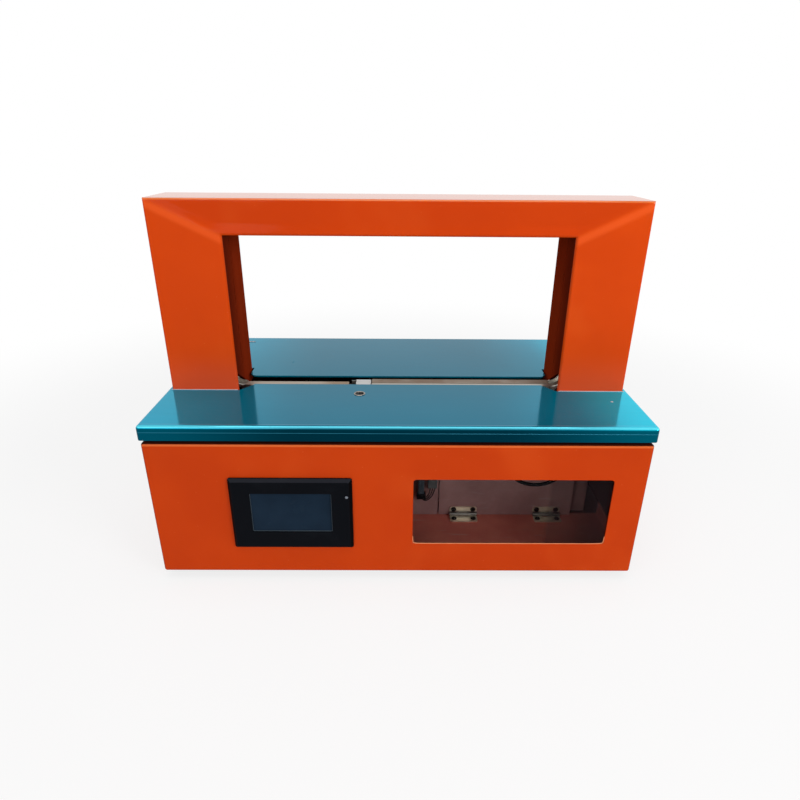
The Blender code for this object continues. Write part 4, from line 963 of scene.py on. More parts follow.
def box_shape(low: Point, high: Point) -> bmesh.types.BMesh:
    """Plain box between two corners.

    Args:
        low: Lowest corner.
        high: Highest corner.

    Returns:
        The shape.
    """
    shape = bmesh.new()
    bmesh.ops.create_cube(shape, size=1.0)
    for vert in shape.verts:
        vert.co = Vector(low[i] + (vert.co[i] + 0.5) * (high[i] - low[i]) for i in range(3))
    return shape


def round_edges(shape: bmesh.types.BMesh, edges: Iterable[bmesh.types.BMEdge], radius: float,
                steps: int) -> None:
    """Rounds some edges of a shape.

    Args:
        shape: The shape.
        edges: Its edges that are rounded.
        radius: Distance from an edge at which the round starts.
        steps: Segments of each round.
    """
    bmesh.ops.bevel(shape, geom=list(edges), offset=radius, offset_type="OFFSET", segments=steps,
                    profile=0.5, affect="EDGES", clamp_overlap=True)


def push(shape: bmesh.types.BMesh, points: Iterable[Point], way: Point) -> None:
    """Makes a face in a shape and pushes it out into a solid.

    Args:
        shape: The shape, still empty.
        points: Corners of the face.
        way: How far it is pushed along each axis.
    """
    face = shape.faces.new([shape.verts.new(point) for point in points])
    pushed = bmesh.ops.extrude_face_region(shape, geom=[face])
    far = [vert for vert in pushed["geom"] if isinstance(vert, bmesh.types.BMVert)]
    bmesh.ops.translate(shape, verts=far, vec=way)


def block(name: str, low: Point, high: Point, radius: float = 0.0, steps: int = 3) -> bpy.types.Object:
    """Box between two corners with rounded edges.

    Args:
        name: The object's name.
        low: Lowest corner.
        high: Highest corner.
        radius: Radius of its edges.
        steps: Segments of each rounded edge.

    Returns:
        The object.
    """
    shape = box_shape(low, high)
    if radius:
        round_edges(shape, shape.edges, radius, steps)
    return from_shape(name, shape)


def folded(name: str, low: Point, high: Point, sides: Sequence[Side], sheet: float, bend: float,
           steps: int = 8) -> bpy.types.Object:
    """Folded sheet: some sides of a box, bent where they meet and thickened inwards.

    Args:
        name: The object's name.
        low: Lowest corner.
        high: Highest corner.
        sides: The sides that the sheet covers.
        sheet: Its thickness.
        bend: Outer radius of its bends.
        steps: Segments of each bend.

    Returns:
        The object, with its thickness as a modifier.
    """
    shape = box_shape(low, high)
    kept = [side.value for side in sides]
    spare = []
    for face in shape.faces:
        axis = max(range(3), key=lambda i: abs(face.normal[i]))
        if (axis, 1 if face.normal[axis] > 0 else -1) not in kept:
            spare.append(face)
    bmesh.ops.delete(shape, geom=spare, context="FACES")
    round_edges(shape, [edge for edge in shape.edges if len(edge.link_faces) == 2], bend, steps)
    item = from_shape(name, shape, False)
    add_sheet(item, sheet)
    return item


def add_sheet(item: bpy.types.Object, sheet: float) -> None:
    """Adds a modifier that thickens a skin inwards.

    Args:
        item: The skin.
        sheet: Thickness of the sheet.
    """
    thick = item.modifiers.new("sheet", "SOLIDIFY")
    thick.thickness = sheet
    thick.offset = -1.0
    thick.use_even_offset = True


def thickened(item: bpy.types.Object, sheet: float) -> bpy.types.Object:
    """Gives a skin its thickness inwards and keeps the result as its mesh.

    Args:
        item: The skin.
        sheet: Thickness of the sheet.

    Returns:
        The same object.
    """
    add_sheet(item, sheet)
    keep_result(item)
    return item


def prism(name: str, outline: Sequence[Pair], axis: Axis, start: float, end: float) -> bpy.types.Object:
    """Flat outline pushed along an axis.

    Args:
        name: The object's name.
        outline: Points as the other two coordinates in order.
        axis: The axis that it is pushed along.
        start: Where it starts on that axis.
        end: Where it ends.

    Returns:
        The object.
    """
    shape = bmesh.new()
    push(shape, [axis.point(a, u, start) for a, u in outline], axis.point(0.0, 0.0, end - start))
    return from_shape(name, shape)


def loft(name: str, rings: Sequence[Sequence[Point]]) -> bpy.types.Object:
    """Closed solid through rings of equal numbers of points, capped at both ends.

    Args:
        name: The object's name.
        rings: The rings in order.

    Returns:
        The object.
    """
    shape = bmesh.new()
    made = [[shape.verts.new(point) for point in ring] for ring in rings]
    count = len(made[0])
    for near, far in zip(made, made[1:]):
        for index in range(count):
            after = (index + 1) % count
            shape.faces.new((near[index], near[after], far[after], far[index]))
    shape.faces.new(made[0])
    shape.faces.new(made[-1])
    return from_shape(name, shape)


def rounded_box(low: Pair, high: Pair, radius: float, steps: int = 8) -> list[Pair]:
    """Outline of a rectangle with round corners.

    Args:
        low: Its lowest corner.
        high: Its highest corner.
        radius: Radius of the corners.
        steps: Segments of each corner.

    Returns:
        The outline's points.
    """
    points = []
    centres = ((high[0] - radius, high[1] - radius), (low[0] + radius, high[1] - radius),
               (low[0] + radius, low[1] + radius), (high[0] - radius, low[1] + radius))
    for quarter, (x, y) in enumerate(centres):
        for step in range(steps + 1):
            angle = math.pi / 2 * (quarter + step / steps)
            points.append((x + radius * math.cos(angle), y + radius * math.sin(angle)))
    return points


def turned(name: str, profile: Sequence[Pair], axis: Axis, centre: Pair, steps: int = 48) -> bpy.types.Object:
    """Turned piece about an axis.

    Args:
        name: The object's name.
        profile: Pairs of radius and place along the axis.
        axis: The axis that it is turned about.
        centre: The axis's other two coordinates in order.
        steps: Segments round it.

    Returns:
        The object.
    """
    shape = bmesh.new()
    rings = []
    for radius, along in profile:
        ring = []
        for step in range(steps if radius > 0 else 1):
            angle = math.tau * step / steps
            ring.append(shape.verts.new(axis.point(centre[0] + radius * math.cos(angle),
                                                   centre[1] + radius * math.sin(angle), along)))
        rings.append(ring)
    for near, far in zip(rings, rings[1:]):
        for step in range(steps):
            after = (step + 1) % steps
            corners = [near[step % len(near)], near[after % len(near)],
                       far[after % len(far)], far[step % len(far)]]
            shape.faces.new(list(dict.fromkeys(corners)))
    return from_shape(name, shape)


def wire(name: str, route: Sequence[Point], radius: float) -> bpy.types.Object:
    """Round wire or thin rod along a smooth route.

    Args:
        name: The object's name.
        route: Points that it passes through.
        radius: Its radius.

    Returns:
        The object, as a mesh.
    """
    curve = bpy.data.curves.new(name, "CURVE")
    curve.dimensions = "3D"
    curve.bevel_depth = radius
    curve.bevel_resolution = 3
    curve.use_fill_caps = True
    line = curve.splines.new("NURBS")
    line.points.add(len(route) - 1)
    for point, place in zip(line.points, route):
        point.co = (*place, 1.0)
    line.use_endpoint_u = True
    line.order_u = 4
    line.resolution_u = 6
    guide = link(name + "_route", curve)
    graph = bpy.context.evaluated_depsgraph_get()
    mesh = bpy.data.meshes.new_from_object(guide.evaluated_get(graph))
    bpy.data.objects.remove(guide, do_unlink=True)
    item = link(name, mesh)
    mesh.shade_smooth()
    return item


# Dressing

class Wardrobe:
    """Makes each finish once and hands it out by the record's slot name."""

    # Each plastic gives its colour, its worn colour, roughness, specular level and grain, in that order
    FINISHES = {
        "orange_coat": PanelCoat(),
        "arch_coat": ArchCoat(),
        "inner_coat": InnerCoat(),
        "filmed_steel": ProtectiveFilm(),
        "steel": BrushedMetal(),
        "dark_steel": BrushedMetal((52, 48, 44), (24, 22, 20), 0.4),
        # Pale bead that stands in for the highlight on the window's cut edge
        "bead_highlight": MouldedPlastic((226, 140, 96), (214, 110, 62), 0.3, 0.2),
        "film_edge": MouldedPlastic((198, 184, 182), (170, 186, 194), 0.4, 0.2),
        "smoke_grey": MouldedPlastic((92, 96, 96), (112, 116, 116), 0.35, 0.1),
        "turned_steel": BrushedMetal((160, 156, 150), (110, 104, 98), 0.3, Grain.TURNED),
        "worn_steel": TapeWorn(),
        "guide_steel": TapeWorn(strip_front=-31.8 * MM, strip_back=-18.7 * MM, dusty=(112, 84, 62)),
        "track_steel": TapeWorn((178, 170, 158), (118, 88, 62), -24.8 * MM, -11.0 * MM, 0.8),
        "zinc_sheet": CoatedSheet(),
        # The red floor takes painted shade behind the flap
        "red_floor": CoatedSheet((236, 138, 118), (212, 114, 98), hidden_shade_from=-38.0 * MM),
        "black_metal": CoatedSheet((26, 26, 28), (16, 16, 18), 0.5),
        "black_plastic": MouldedPlastic(),
        # Painted highlight and painted shade on the bezel's chamfer
        "facet_highlight": MouldedPlastic((32, 34, 40), (44, 46, 52)),
        "facet_shade": MouldedPlastic((1, 1, 2), (6, 7, 9)),
        "soft_black": MouldedPlastic((10, 10, 12), (30, 30, 34), 0.6, 0.05),
        "rubber": MouldedPlastic((20, 20, 20), (42, 42, 42), 0.75, 0.08, 0.0001),
        "white_nylon": MouldedPlastic((232, 232, 230), (206, 204, 196), 0.4, 0.2),
        "grey_plastic": MouldedPlastic((66, 76, 84), (86, 96, 104), 0.4, 0.1),
        "lamp_lens": MouldedPlastic((112, 118, 128), (92, 98, 108), 0.2, 0.2, 0.00001),
        "dark_lens": MouldedPlastic((6, 10, 20), (14, 22, 36), 0.12, 0.1, 0.00001),
        "screen_glass": TouchGlass(),
        "smoked_acrylic": SmokedSheet(),
        "hinge_nickel": BrushedMetal((250, 242, 224), (196, 184, 158), 0.42),
        "motor_case": MouldedPlastic((28, 28, 30), (52, 52, 54), 0.5, 0.2, 0.00012),
        "supply_case": BrushedMetal((176, 178, 180), (140, 142, 146), 0.38),
        "circuit_board": SolderedBoard(),
        "reel_board": PressedBoard(),
    }
    SLOTS = {
        "arch_coat": "orange_coat", "inner_coat": "orange_coat", "bead_highlight": "orange_coat",
        "turned_steel": "steel", "dark_steel": "steel", "film_edge": "filmed_steel",
        "guide_steel": "worn_steel", "track_steel": "worn_steel", "smoke_grey": "black_plastic",
        "soft_black": "black_plastic", "grey_plastic": "black_plastic",
    }

    def __init__(self) -> None:
        """Starts with nothing made."""
        self.made: dict[str, bpy.types.Material] = {}

    def material(self, finish: str) -> bpy.types.Material:
        """Material of a finish, made on first use.

        Args:
            finish: Name of the finish.

        Returns:
            The material.
        """
        if finish not in self.made:
            self.made[finish] = self.FINISHES[finish].make(finish)
        return self.made[finish]

    def dress(self, item: bpy.types.Object, finish: str, body: str = ROOT,
              nodes: Sequence[str] = ()) -> bpy.types.Object:
        """Gives a new piece its finish, its body and the nodes that it stands for.

        Args:
            item: The piece.
            finish: Name of its finish.
            body: The body that it rides on.
            nodes: CAD nodes that it replaces.

        Returns:
            The piece.
        """
        item.data.materials.clear()
        item.data.materials.append(self.material(finish))
        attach(item, body)
        if nodes:
            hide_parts(*nodes)
        LOG.info("%s: %s on %s", item.name, finish, body)
        return item

    def patch(self, item: bpy.types.Object, finish: str, chosen: Callable[[Vector], bool]) -> None:
        """Gives some faces of a dressed piece a second finish.

        Args:
            item: The piece.
            finish: Name of the second finish.
            chosen: True for the middle of a face that takes it.
        """
        item.data.materials.append(self.material(finish))
        for face in item.data.polygons:
            if chosen(face.center):
                face.material_index = len(item.data.materials) - 1

    def paint(self, finish: str, *nodes: str) -> None:
        """Gives carried-over CAD nodes a finish.

        Args:
            finish: Name of the finish.
            nodes: The nodes' names.
        """
        for node in nodes:
            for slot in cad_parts[node].material_slots:
                slot.material = self.material(finish)
            LOG.info("%s: %s", node, finish)


@dataclass
class ScrewHead:
    """Pan head of a small cross-recess screw, made once and placed many times."""

    # Shares of the radius and of the height, from the seat to the crown
    PROFILE = ((1.0, 0.0), (1.0, 0.3), (0.88, 0.72), (0.55, 0.95), (0.0, 1.0))

    wardrobe: Wardrobe
    radius: float = 3.2 * MM
    height: float = 1.8 * MM
    recess: float = 0.9 * MM
    slot_half: float = 0.35 * MM
    slot_share: float = 0.62
    steps: int = 28
    mesh: Optional[bpy.types.Mesh] = None

    def build(self) -> bpy.types.Mesh:
        """Makes the head's mesh, which stands along +Z on its seat.

        Returns:
            The mesh.
        """
        profile = [(self.radius * out, self.height * up) for out, up in self.PROFILE]
        head = turned("screw_head", profile, Axis.Z, (0.0, 0.0), self.steps)
        reach, half = self.radius * self.slot_share, self.slot_half
        low, high = self.height - self.recess, self.height + MM
        tools = [block("slot_a", (-reach, -half, low), (reach, half, high)),
                 block("slot_b", (-half, -reach, low), (half, reach, high))]
        shape = bmesh.new()
        shape.from_mesh(head.data)
        bmesh.ops.holes_fill(shape, edges=[edge for edge in shape.edges if edge.is_boundary])
        shape.to_mesh(head.data)
        shape.free()
        carve(head, tools)
        settle(head, CRISP_ANGLE)
        mesh = head.data
        bpy.data.objects.remove(head, do_unlink=True)
        return mesh

    def place(self, name: str, seat: Point, normal: Point, scale: float = 1.0,
              finish: str = "turned_steel", body: str = ROOT, rise: float = 1.0) -> None:
        """Puts one head on a surface.

        Args:
            name: The piece's name.
            seat: The middle of its seat.
            normal: The way the surface faces.
            scale: Size against the plain head.
            finish: Name of its finish.
            body: The body that it rides on.
            rise: Height against the plain head, for a flatter one.
        """
        if self.mesh is None:
            self.mesh = self.build()
        mesh = self.mesh.copy()
        turn = Vector(normal).to_track_quat("Z", "Y").to_matrix().to_4x4()
        sized = Matrix.Diagonal((scale, scale, scale * rise, 1.0))
        mesh.transform(Matrix.Translation(seat) @ turn @ sized)
        self.wardrobe.dress(link(name, mesh), finish, body)


# Sub-assemblies

@dataclass
class Assembly:
    """A sub-assembly: it makes its own pieces, then paints the CAD nodes that it carries over."""

    PAINTED: ClassVar[dict[str, tuple[str, ...]]] = {}

    wardrobe: Wardrobe
    head: ScrewHead

    def pieces(self) -> None:
        """Makes the sub-assembly's own pieces; one that is only painted has none."""

    def build(self) -> None:
        """Builds and dresses the whole sub-assembly."""
        self.pieces()
        for finish, nodes in self.PAINTED.items():
            self.wardrobe.paint(finish, *nodes)


@dataclass
class Cabinet(Assembly):
    """The sheet body: front with its window and screen openings, rear, sides and their screws."""

    PAINTED = {"red_floor": ("base_tray",),
               "rubber": ("foot_front_left", "foot_front_right", "foot_rear_left", "foot_rear_right"),
               "zinc_sheet": ("left_arch_post", "right_arch_post", "main_plate")}

    half_width: float = 287.5 * MM
    half_depth: float = 155.0 * MM
    bottom: float = 12.0 * MM
    top: float = 190.0 * MM
    sheet: float = 1.5 * MM
    bend: float = 3.2 * MM
    fold_back: float = 18.0 * MM
    seam: float = 0.6 * MM
    window_low: Pair = (17.6 * MM, 54.0 * MM)
    window_high: Pair = (249.2 * MM, 144.0 * MM)
    window_radius: float = 3.5 * MM
    bead_inset: float = 0.2 * MM
    bead_radius: float = 0.55 * MM
    chamfer: float = 0.6 * MM
    screen_low: Pair = (-182.5 * MM, 65.5 * MM)
    screen_high: Pair = (-65.9 * MM, 138.1 * MM)
    inlet_low: Pair = (210.7 * MM, 50.2 * MM)
    inlet_high: Pair = (239.3 * MM, 97.8 * MM)
    vent_width: float = 4.0 * MM
    vent_radius: float = 1.95 * MM
    vent_length: float = 46.0 * MM
    vent_pitch: float = 11.0 * MM
    vent_height: float = 107.0 * MM
    rear_vents: tuple[float, int] = (-110.0 * MM, 12)
    side_vents: tuple[float, int] = (70.0 * MM, 9)
    screw_inset: float = 13.0 * MM
    rear_screws: tuple[float, ...] = (-262.0 * MM, -90.0 * MM, 90.0 * MM, 262.0 * MM)
    side_screws: tuple[float, ...] = (-118.0 * MM, 0.0, 124.0 * MM)
    cut_corner: float = 0.5 * MM
    overrun: float = 3.0 * MM

    def vents(self, axis: Axis, centre: float, count: int, start: float,
              end: float) -> list[bpy.types.Object]:
        """Cutters for a row of upright slots with round ends.

        Args:
            axis: The axis that they cut along.
            centre: Middle of the row.
            count: Number of slots.
            start: Where the cut starts.
            end: Where it ends.

        Returns:
            The cutters.
        """
        tools = []
        for index in range(count):
            across = centre + (index - (count - 1) / 2) * self.vent_pitch
            low = (across - self.vent_width / 2, self.vent_height - self.vent_length / 2)
            high = (across + self.vent_width / 2, self.vent_height + self.vent_length / 2)
            outline = rounded_box(low, high, self.vent_radius, 6)
            tools.append(prism(f"vent_tool_{index}", outline, axis, start, end))
        return tools

    def front(self) -> None:
        """Front panel with its two openings."""
        panel = folded("front_sheet", (-self.half_width, -self.half_depth, self.bottom),
                       (self.half_width, self.fold_back - self.half_depth, self.top),
                       (Side.FRONT, Side.LEFT, Side.RIGHT, Side.TOP, Side.BOTTOM), self.sheet, self.bend)
        near, far = -self.half_depth - self.overrun, -self.half_depth + self.sheet + self.overrun
        rings = []
        for grown, y in ((self.chamfer + self.overrun, near), (0.0, self.chamfer - self.half_depth),
                         (0.0, far)):
            outline = rounded_box((self.window_low[0] - grown, self.window_low[1] - grown),
                                  (self.window_high[0] + grown, self.window_high[1] + grown),
                                  self.window_radius + grown)
            rings.append([(x, y, z) for x, z in outline])
        window = loft("window_tool", rings)
        screen = prism("screen_tool", rounded_box(self.screen_low, self.screen_high, self.cut_corner, 2),
                       Axis.Y, near, far)
        carve(panel, [window, screen])
        self.wardrobe.dress(settle(panel), "orange_coat", nodes=["front_panel"])
        # A pale bead along the window's lower edge is a painted highlight on the cut edge
        left, right = self.window_low[0], self.window_high[0]
        y, z = MM - self.half_depth, self.window_low[1] + self.bead_inset
        turn, inset = self.window_radius, self.bead_inset
        corner = ((inset, 3.0 * turn), (inset, turn), (0.3 * turn, 0.3 * turn), (turn, 0.0),
                  (8.0 * turn, 0.0))
        route = [(left + across, y, z + up) for across, up in corner]
        route += [(right - across, y, z + up) for across, up in reversed(corner)]
        self.wardrobe.dress(wire("window_highlight_bead", route, self.bead_radius), "bead_highlight")

    def rear(self) -> None:
        """Rear panel with its slots and the inlet's opening."""
        panel = folded("rear_sheet", (-self.half_width, self.half_depth - self.fold_back, self.bottom),
                       (self.half_width, self.half_depth, self.top),
                       (Side.BACK, Side.LEFT, Side.RIGHT, Side.TOP, Side.BOTTOM), self.sheet, self.bend)
        near, far = self.half_depth - self.sheet - self.overrun, self.half_depth + self.overrun
        inlet = prism("inlet_tool", rounded_box(self.inlet_low, self.inlet_high, self.cut_corner, 2),
                      Axis.Y, near, far)
        carve(panel, [inlet, *self.vents(Axis.Y, *self.rear_vents, near, far)])
        self.wardrobe.dress(settle(panel), "orange_coat", nodes=["rear_panel"])

    def sides(self) -> None:
        """The two side panels with their slots."""
        reach = self.half_depth - self.fold_back - self.seam
        inner = self.half_width - self.fold_back
        for word, side, sign in (("left", Side.LEFT, -1), ("right", Side.RIGHT, 1)):
            ends = sorted((sign * self.half_width, sign * inner))
            panel = folded(f"{word}_side_sheet", (ends[0], -reach, self.bottom), (ends[1], reach, self.top),
                           (side, Side.TOP, Side.BOTTOM), self.sheet, self.bend)
            tools = self.vents(Axis.X, *self.side_vents, ends[0] - self.overrun, ends[1] + self.overrun)
            carve(panel, tools)
            self.wardrobe.dress(settle(panel), "orange_coat", nodes=[f"{word}_side_panel"])

    def screws(self) -> None:
        """Screws that hold the rear and side panels."""
        for row, z in (("low", self.bottom + self.screw_inset), ("high", self.top - self.screw_inset)):
            for index, x in enumerate(self.rear_screws):
                self.head.place(f"rear_screw_{row}_{index}", (x, self.half_depth, z), (0, 1, 0))
            for word, sign in (("left", -1), ("right", 1)):
                for index, y in enumerate(self.side_screws):
                    seat = (sign * self.half_width, y, z)
                    self.head.place(f"{word}_screw_{row}_{index}", seat, (sign, 0, 0))

    def pieces(self) -> None:
        """Makes the four panels and their screws."""
        self.front()
        self.rear()
        self.sides()
        self.screws()


@dataclass
class Table(Assembly):
    """The two filmed table plates, the rails under them and the start sensor."""

    PAINTED = {"black_metal": ("front_table_rail", "rear_table_rail"), "dark_lens": ("start_sensor",)}
    # Name, finish, middle and radius of each blister, then a dome's shares of radius and its heights
    BLISTERS = (("film_blister_right", "film_edge", (258.0 * MM, -87.0 * MM), 1.6 * MM),
                ("film_blister_rear", "filmed_steel", (-148.0 * MM, 46.0 * MM), 1.4 * MM))
    DOME = ((1.0, -0.1 * MM), (0.8, 0.25 * MM), (0.4, 0.42 * MM), (0.0, 0.45 * MM))
    # Places across and in depth along the torn edge's middle part, and along the nick
    TORN = ((262.0 * MM, -0.3 * MM), (240.0 * MM, 0.0), (216.0 * MM, -0.2 * MM))
    NICK = ((-233.0 * MM, 134.0 * MM), (-229.0 * MM, 135.0 * MM), (-226.0 * MM, 134.6 * MM),
            (-221.0 * MM, 135.0 * MM))

    half_width: float = 288.5 * MM
    half_depth: float = 158.0 * MM
    bottom: float = 195.0 * MM
    top: float = 213.0 * MM
    sheet: float = 2.0 * MM
    bend: float = 4.0 * MM
    bend_steps: int = 10
    split: float = -16.5 * MM
    seam: float = 0.3 * MM
    leg_outer: float = 283.3 * MM
    leg_front: float = -55.3 * MM
    leg_back: float = 22.3 * MM
    tongue: float = 198.0 * MM
    tongue_tip: float = 183.2 * MM
    rear_tongue: float = 197.4 * MM
    rear_radius: float = 10.0 * MM
    arc_steps: int = 8
    slot_front: float = -35.5 * MM
    slot_back: float = -6.4 * MM
    sensor: Pair = (-48.0 * MM, -66.0 * MM)
    sensor_radius: float = 6.3 * MM
    collar_inner: float = 5.2 * MM
    collar_outer: float = 7.0 * MM
    collar_sleeve: float = 6.0 * MM
    collar_length: float = 14.0 * MM
    torn_radius: float = 0.45 * MM
    torn_height: float = 0.35 * MM
    nick_radius: float = 0.7 * MM
    clear: float = 2.0 * MM
    overlap: float = 5.0 * MM

    def front(self) -> None:
        """Front plate with the notch for the legs and the slot."""
        plate = folded("front_plate", (-self.half_width, -self.half_depth, self.bottom),
                       (self.half_width, self.split - self.seam, self.top),
                       (Side.TOP, Side.FRONT, Side.LEFT, Side.RIGHT), self.sheet, self.bend, self.bend_steps)
        beyond = self.split + self.overlap
        outline = [(-self.leg_outer, beyond), (-self.leg_outer, self.leg_front),
                   (-self.tongue, self.leg_front), (-self.tongue_tip, self.slot_front),
                   (self.tongue_tip, self.slot_front), (self.tongue, self.leg_front),
                   (self.leg_outer, self.leg_front), (self.leg_outer, beyond)]
        low, high = self.bottom - self.clear, self.top + self.clear
        notch = prism("notch_tool", outline, Axis.Z, low, high)
        hole = turned("hole_tool", [(0.0, high), (self.sensor_radius, high), (self.sensor_radius, low),
                                    (0.0, low)], Axis.Z, self.sensor)
        carve(plate, [notch, hole])
        self.wardrobe.dress(settle(plate), "filmed_steel", nodes=["front_table_plate"])

    def rear(self) -> None:
        """Rear plate with its round-cornered tongue."""
        plate = folded("rear_plate", (-self.half_width, self.split + self.seam, self.bottom),
                       (self.half_width, self.half_depth, self.top),
                       (Side.TOP, Side.BACK, Side.LEFT, Side.RIGHT), self.sheet, self.bend, self.bend_steps)
        before = self.split - self.overlap
        edge, radius, half = self.slot_back, self.rear_radius, self.rear_tongue
        angles = [math.pi / 2 * step / self.arc_steps for step in range(self.arc_steps + 1)]
        arc = [(half - radius + radius * math.cos(angle), edge + radius - radius * math.sin(angle))
               for angle in angles]
        right = [(self.leg_outer, before), (self.leg_outer, self.leg_back), (half, self.leg_back), *arc]
        outline = right + [(-x, y) for x, y in reversed(right)]
        notch = prism("rear_notch_tool", outline, Axis.Z, self.bottom - self.clear, self.top + self.clear)
        carve(plate, [notch])
        self.wardrobe.dress(settle(plate), "filmed_steel", nodes=["rear_table_plate"])

    def collar(self) -> None:
        """The start sensor's ring, whose flange lies on the film."""
        seat, low = self.top + 0.3 * MM, self.top - self.collar_length
        edge, crest = seat + 0.2 * MM, seat + 0.5 * MM
        inner, outer, sleeve = self.collar_inner, self.collar_outer, self.collar_sleeve
        profile = [(inner, low), (inner, edge), (inner + 0.3 * MM, crest), (outer - 0.4 * MM, crest),
                   (outer, edge), (outer, seat), (sleeve, seat), (sleeve, low), (inner, low)]
        ring = settle(turned("sensor_collar", profile, Axis.Z, self.sensor), CRISP_ANGLE)
        self.wardrobe.dress(ring, "turned_steel", nodes=["sensor_ring"])

    def blisters(self) -> None:
        """Two small blisters in the film, the right one peeled pale."""
        for name, finish, centre, radius in self.BLISTERS:
            dome = [(radius * share, self.top + height) for share, height in self.DOME]
            blister = settle(turned(name, dome, Axis.Z, centre, SMALL_STEPS), DOME_ANGLE)
            self.wardrobe.dress(blister, finish)

    def film_edges(self) -> None:
        """Torn edges of the film before the legs, and a nick in its rear edge."""
        y, z = self.leg_front - 0.5 * MM, self.top + self.torn_height
        for word, sign in (("left", -1), ("right", 1)):
            places = ((self.leg_outer, 0.0), *self.TORN, (self.tongue + 3.0 * MM, 0.0))
            route = [(sign * across, y + back, z) for across, back in places]
            self.wardrobe.dress(wire(f"{word}_film_edge", route, self.torn_radius), "film_edge")
        nick = wire("rear_film_nick", [(x, y, z) for x, y in self.NICK], self.nick_radius)
        self.wardrobe.dress(nick, "film_edge")

    def pieces(self) -> None:
        """Makes the two plates and what lies on them."""
        self.front()
        self.rear()
        self.collar()
        self.blisters()
        self.film_edges()


@dataclass
class Arch(Assembly):
    """The painted arch: one welded hollow section with pressed mitres and the tape's slit."""

    PAINTED = {"inner_coat": ("left_leg_track", "right_leg_track", "beam_track")}

    half_width: float = 283.0 * MM
    opening: float = 200.0 * MM
    front: float = -55.0 * MM
    back: float = 22.0 * MM
    bottom: float = 200.0 * MM
    under: float = 400.5 * MM
    top: float = 440.5 * MM
    sheet: float = 1.5 * MM
    bend: float = 3.0 * MM
    bend_steps: int = 6
    press_depth: float = 3.0 * MM
    press_reach: float = 60.0 * MM
    press_soft: float = 8.0 * MM
    press_clear: float = 3.5 * MM
    cuts_across: range = range(96, 283, 4)
    cuts_up: range = range(376, 440, 3)
    slit: float = 3.0 * MM
    slit_end: float = 5.0 * MM
    overrun: float = 2.0 * MM
    door_front: float = -51.8 * MM
    door_rise: float = 0.6
    lip_top: float = 212.6 * MM
    track_front: float = -33.5 * MM
    left_track: float = 16.5 * MM
    right_track: float = 21.5 * MM

    def pressed(self, across: float, height: float) -> float:
        """Depth to which the face is pressed in beside the mitre.

        Args:
            across: Distance from the middle of the machine.
            height: Height above the floor.

        Returns:
            The depth.
        """
        run, rise = self.half_width - self.opening, self.top - self.under
        length = math.hypot(run, rise)
        out, above = abs(across) - self.opening, height - self.under
        along = (out * run + above * rise) / length / length
        away = (above * run - out * rise) / length
        soft = min(max(away / self.press_soft, 0.0), 1.0)
        soft = soft * soft * (3.0 - 2.0 * soft)
        fade = math.exp(-max(-out, 0.0) / self.press_reach) * (1.0 - min(max(along, 0.0), 1.0))
        clear = min(max((above - self.press_clear) / self.press_soft, 0.0), 1.0)
        return self.press_depth * soft * fade * clear

    def skin(self) -> bpy.types.Object:
        """The arch's outer skin: bent round its front and back, open under its legs.

        Returns:
            The skin, still without thickness.
        """
        shape = bmesh.new()
        outline = [(-self.half_width, self.bottom), (-self.half_width, self.top),
                   (self.half_width, self.top), (self.half_width, self.bottom),
                   (self.opening, self.bottom), (self.opening, self.under),
                   (-self.opening, self.under), (-self.opening, self.bottom)]
        push(shape, [(x, self.front, z) for x, z in outline], (0.0, self.back - self.front, 0.0))
        bmesh.ops.recalc_face_normals(shape, faces=shape.faces)
        ends = [f for f in shape.faces if f.normal.z < -0.5 and f.calc_center_median().z < self.bottom + MM]
        bmesh.ops.delete(shape, geom=ends, context="FACES")
        rims = [e for e in shape.edges if abs(e.verts[0].co.y - e.verts[1].co.y) < MM
                and not e.is_boundary and len(e.link_faces) == 2]
        round_edges(shape, rims, self.bend, self.bend_steps)
        return from_shape("arch_skin", shape, False)

    def crease(self, skin: bpy.types.Object) -> None:
        """Divides the shell near its mitres and presses its front in there.

        Args:
            skin: The bent shell with its thickness.
        """
        shape = bmesh.new()
        shape.from_mesh(skin.data)
        cuts = [(Axis.X, sign * place * MM) for place in self.cuts_across for sign in (-1, 1)]
        cuts += [(Axis.Z, place * MM) for place in self.cuts_up]
        for axis, place in cuts:
            bmesh.ops.bisect_plane(shape, geom=shape.verts[:] + shape.edges[:] + shape.faces[:],
                                   plane_co=axis.point(0.0, 0.0, place), plane_no=axis.point(0.0, 0.0, 1.0))
        for vert in shape.verts:
            depth = vert.co.y - self.front - self.sheet
            if depth < self.bend:
                weight = min(1.0, 1.0 - depth / self.bend)
                vert.co.y += weight * self.pressed(vert.co.x, vert.co.z)
        shape.to_mesh(skin.data)
        shape.free()

    def pieces(self) -> None:
        """Makes the arch's skin with its slits and the cuts at its guides."""
        skin = thickened(self.skin(), self.sheet)
        self.crease(skin)
        reach = self.overrun
        tools = []
        for word, sign, width in (("left", -1, self.left_track), ("right", 1, self.right_track)):
            near, far = sorted((sign * (self.opening - reach), sign * (self.opening + self.sheet + reach)))
            middle = self.track_front + width / 2
            tools.append(block(f"{word}_slit_tool", (near, middle - self.slit / 2, self.lip_top),
                               (far, middle + self.slit / 2, self.under - self.slit_end)))
            back = self.track_front + width
            high = self.lip_top + self.door_rise * (back - self.door_front)
            outline = [(self.door_front, self.bottom - reach), (back + MM, self.bottom - reach),
                       (back + MM, self.lip_top), (back, self.lip_top), (self.door_front, high)]
            tools.append(prism(f"{word}_door_tool", outline, Axis.X, near, far))
        middle = self.track_front + self.left_track / 2
        half = self.opening - self.slit_end
        tools.append(block("beam_slit_tool", (-half, middle - self.slit / 2, self.under - reach),
                           (half, middle + self.slit / 2, self.under + self.sheet + reach)))
        carve(skin, tools)
        settle(skin)
        self.wardrobe.dress(skin, "arch_coat", nodes=["arch_left_leg", "arch_right_leg", "arch_beam"])
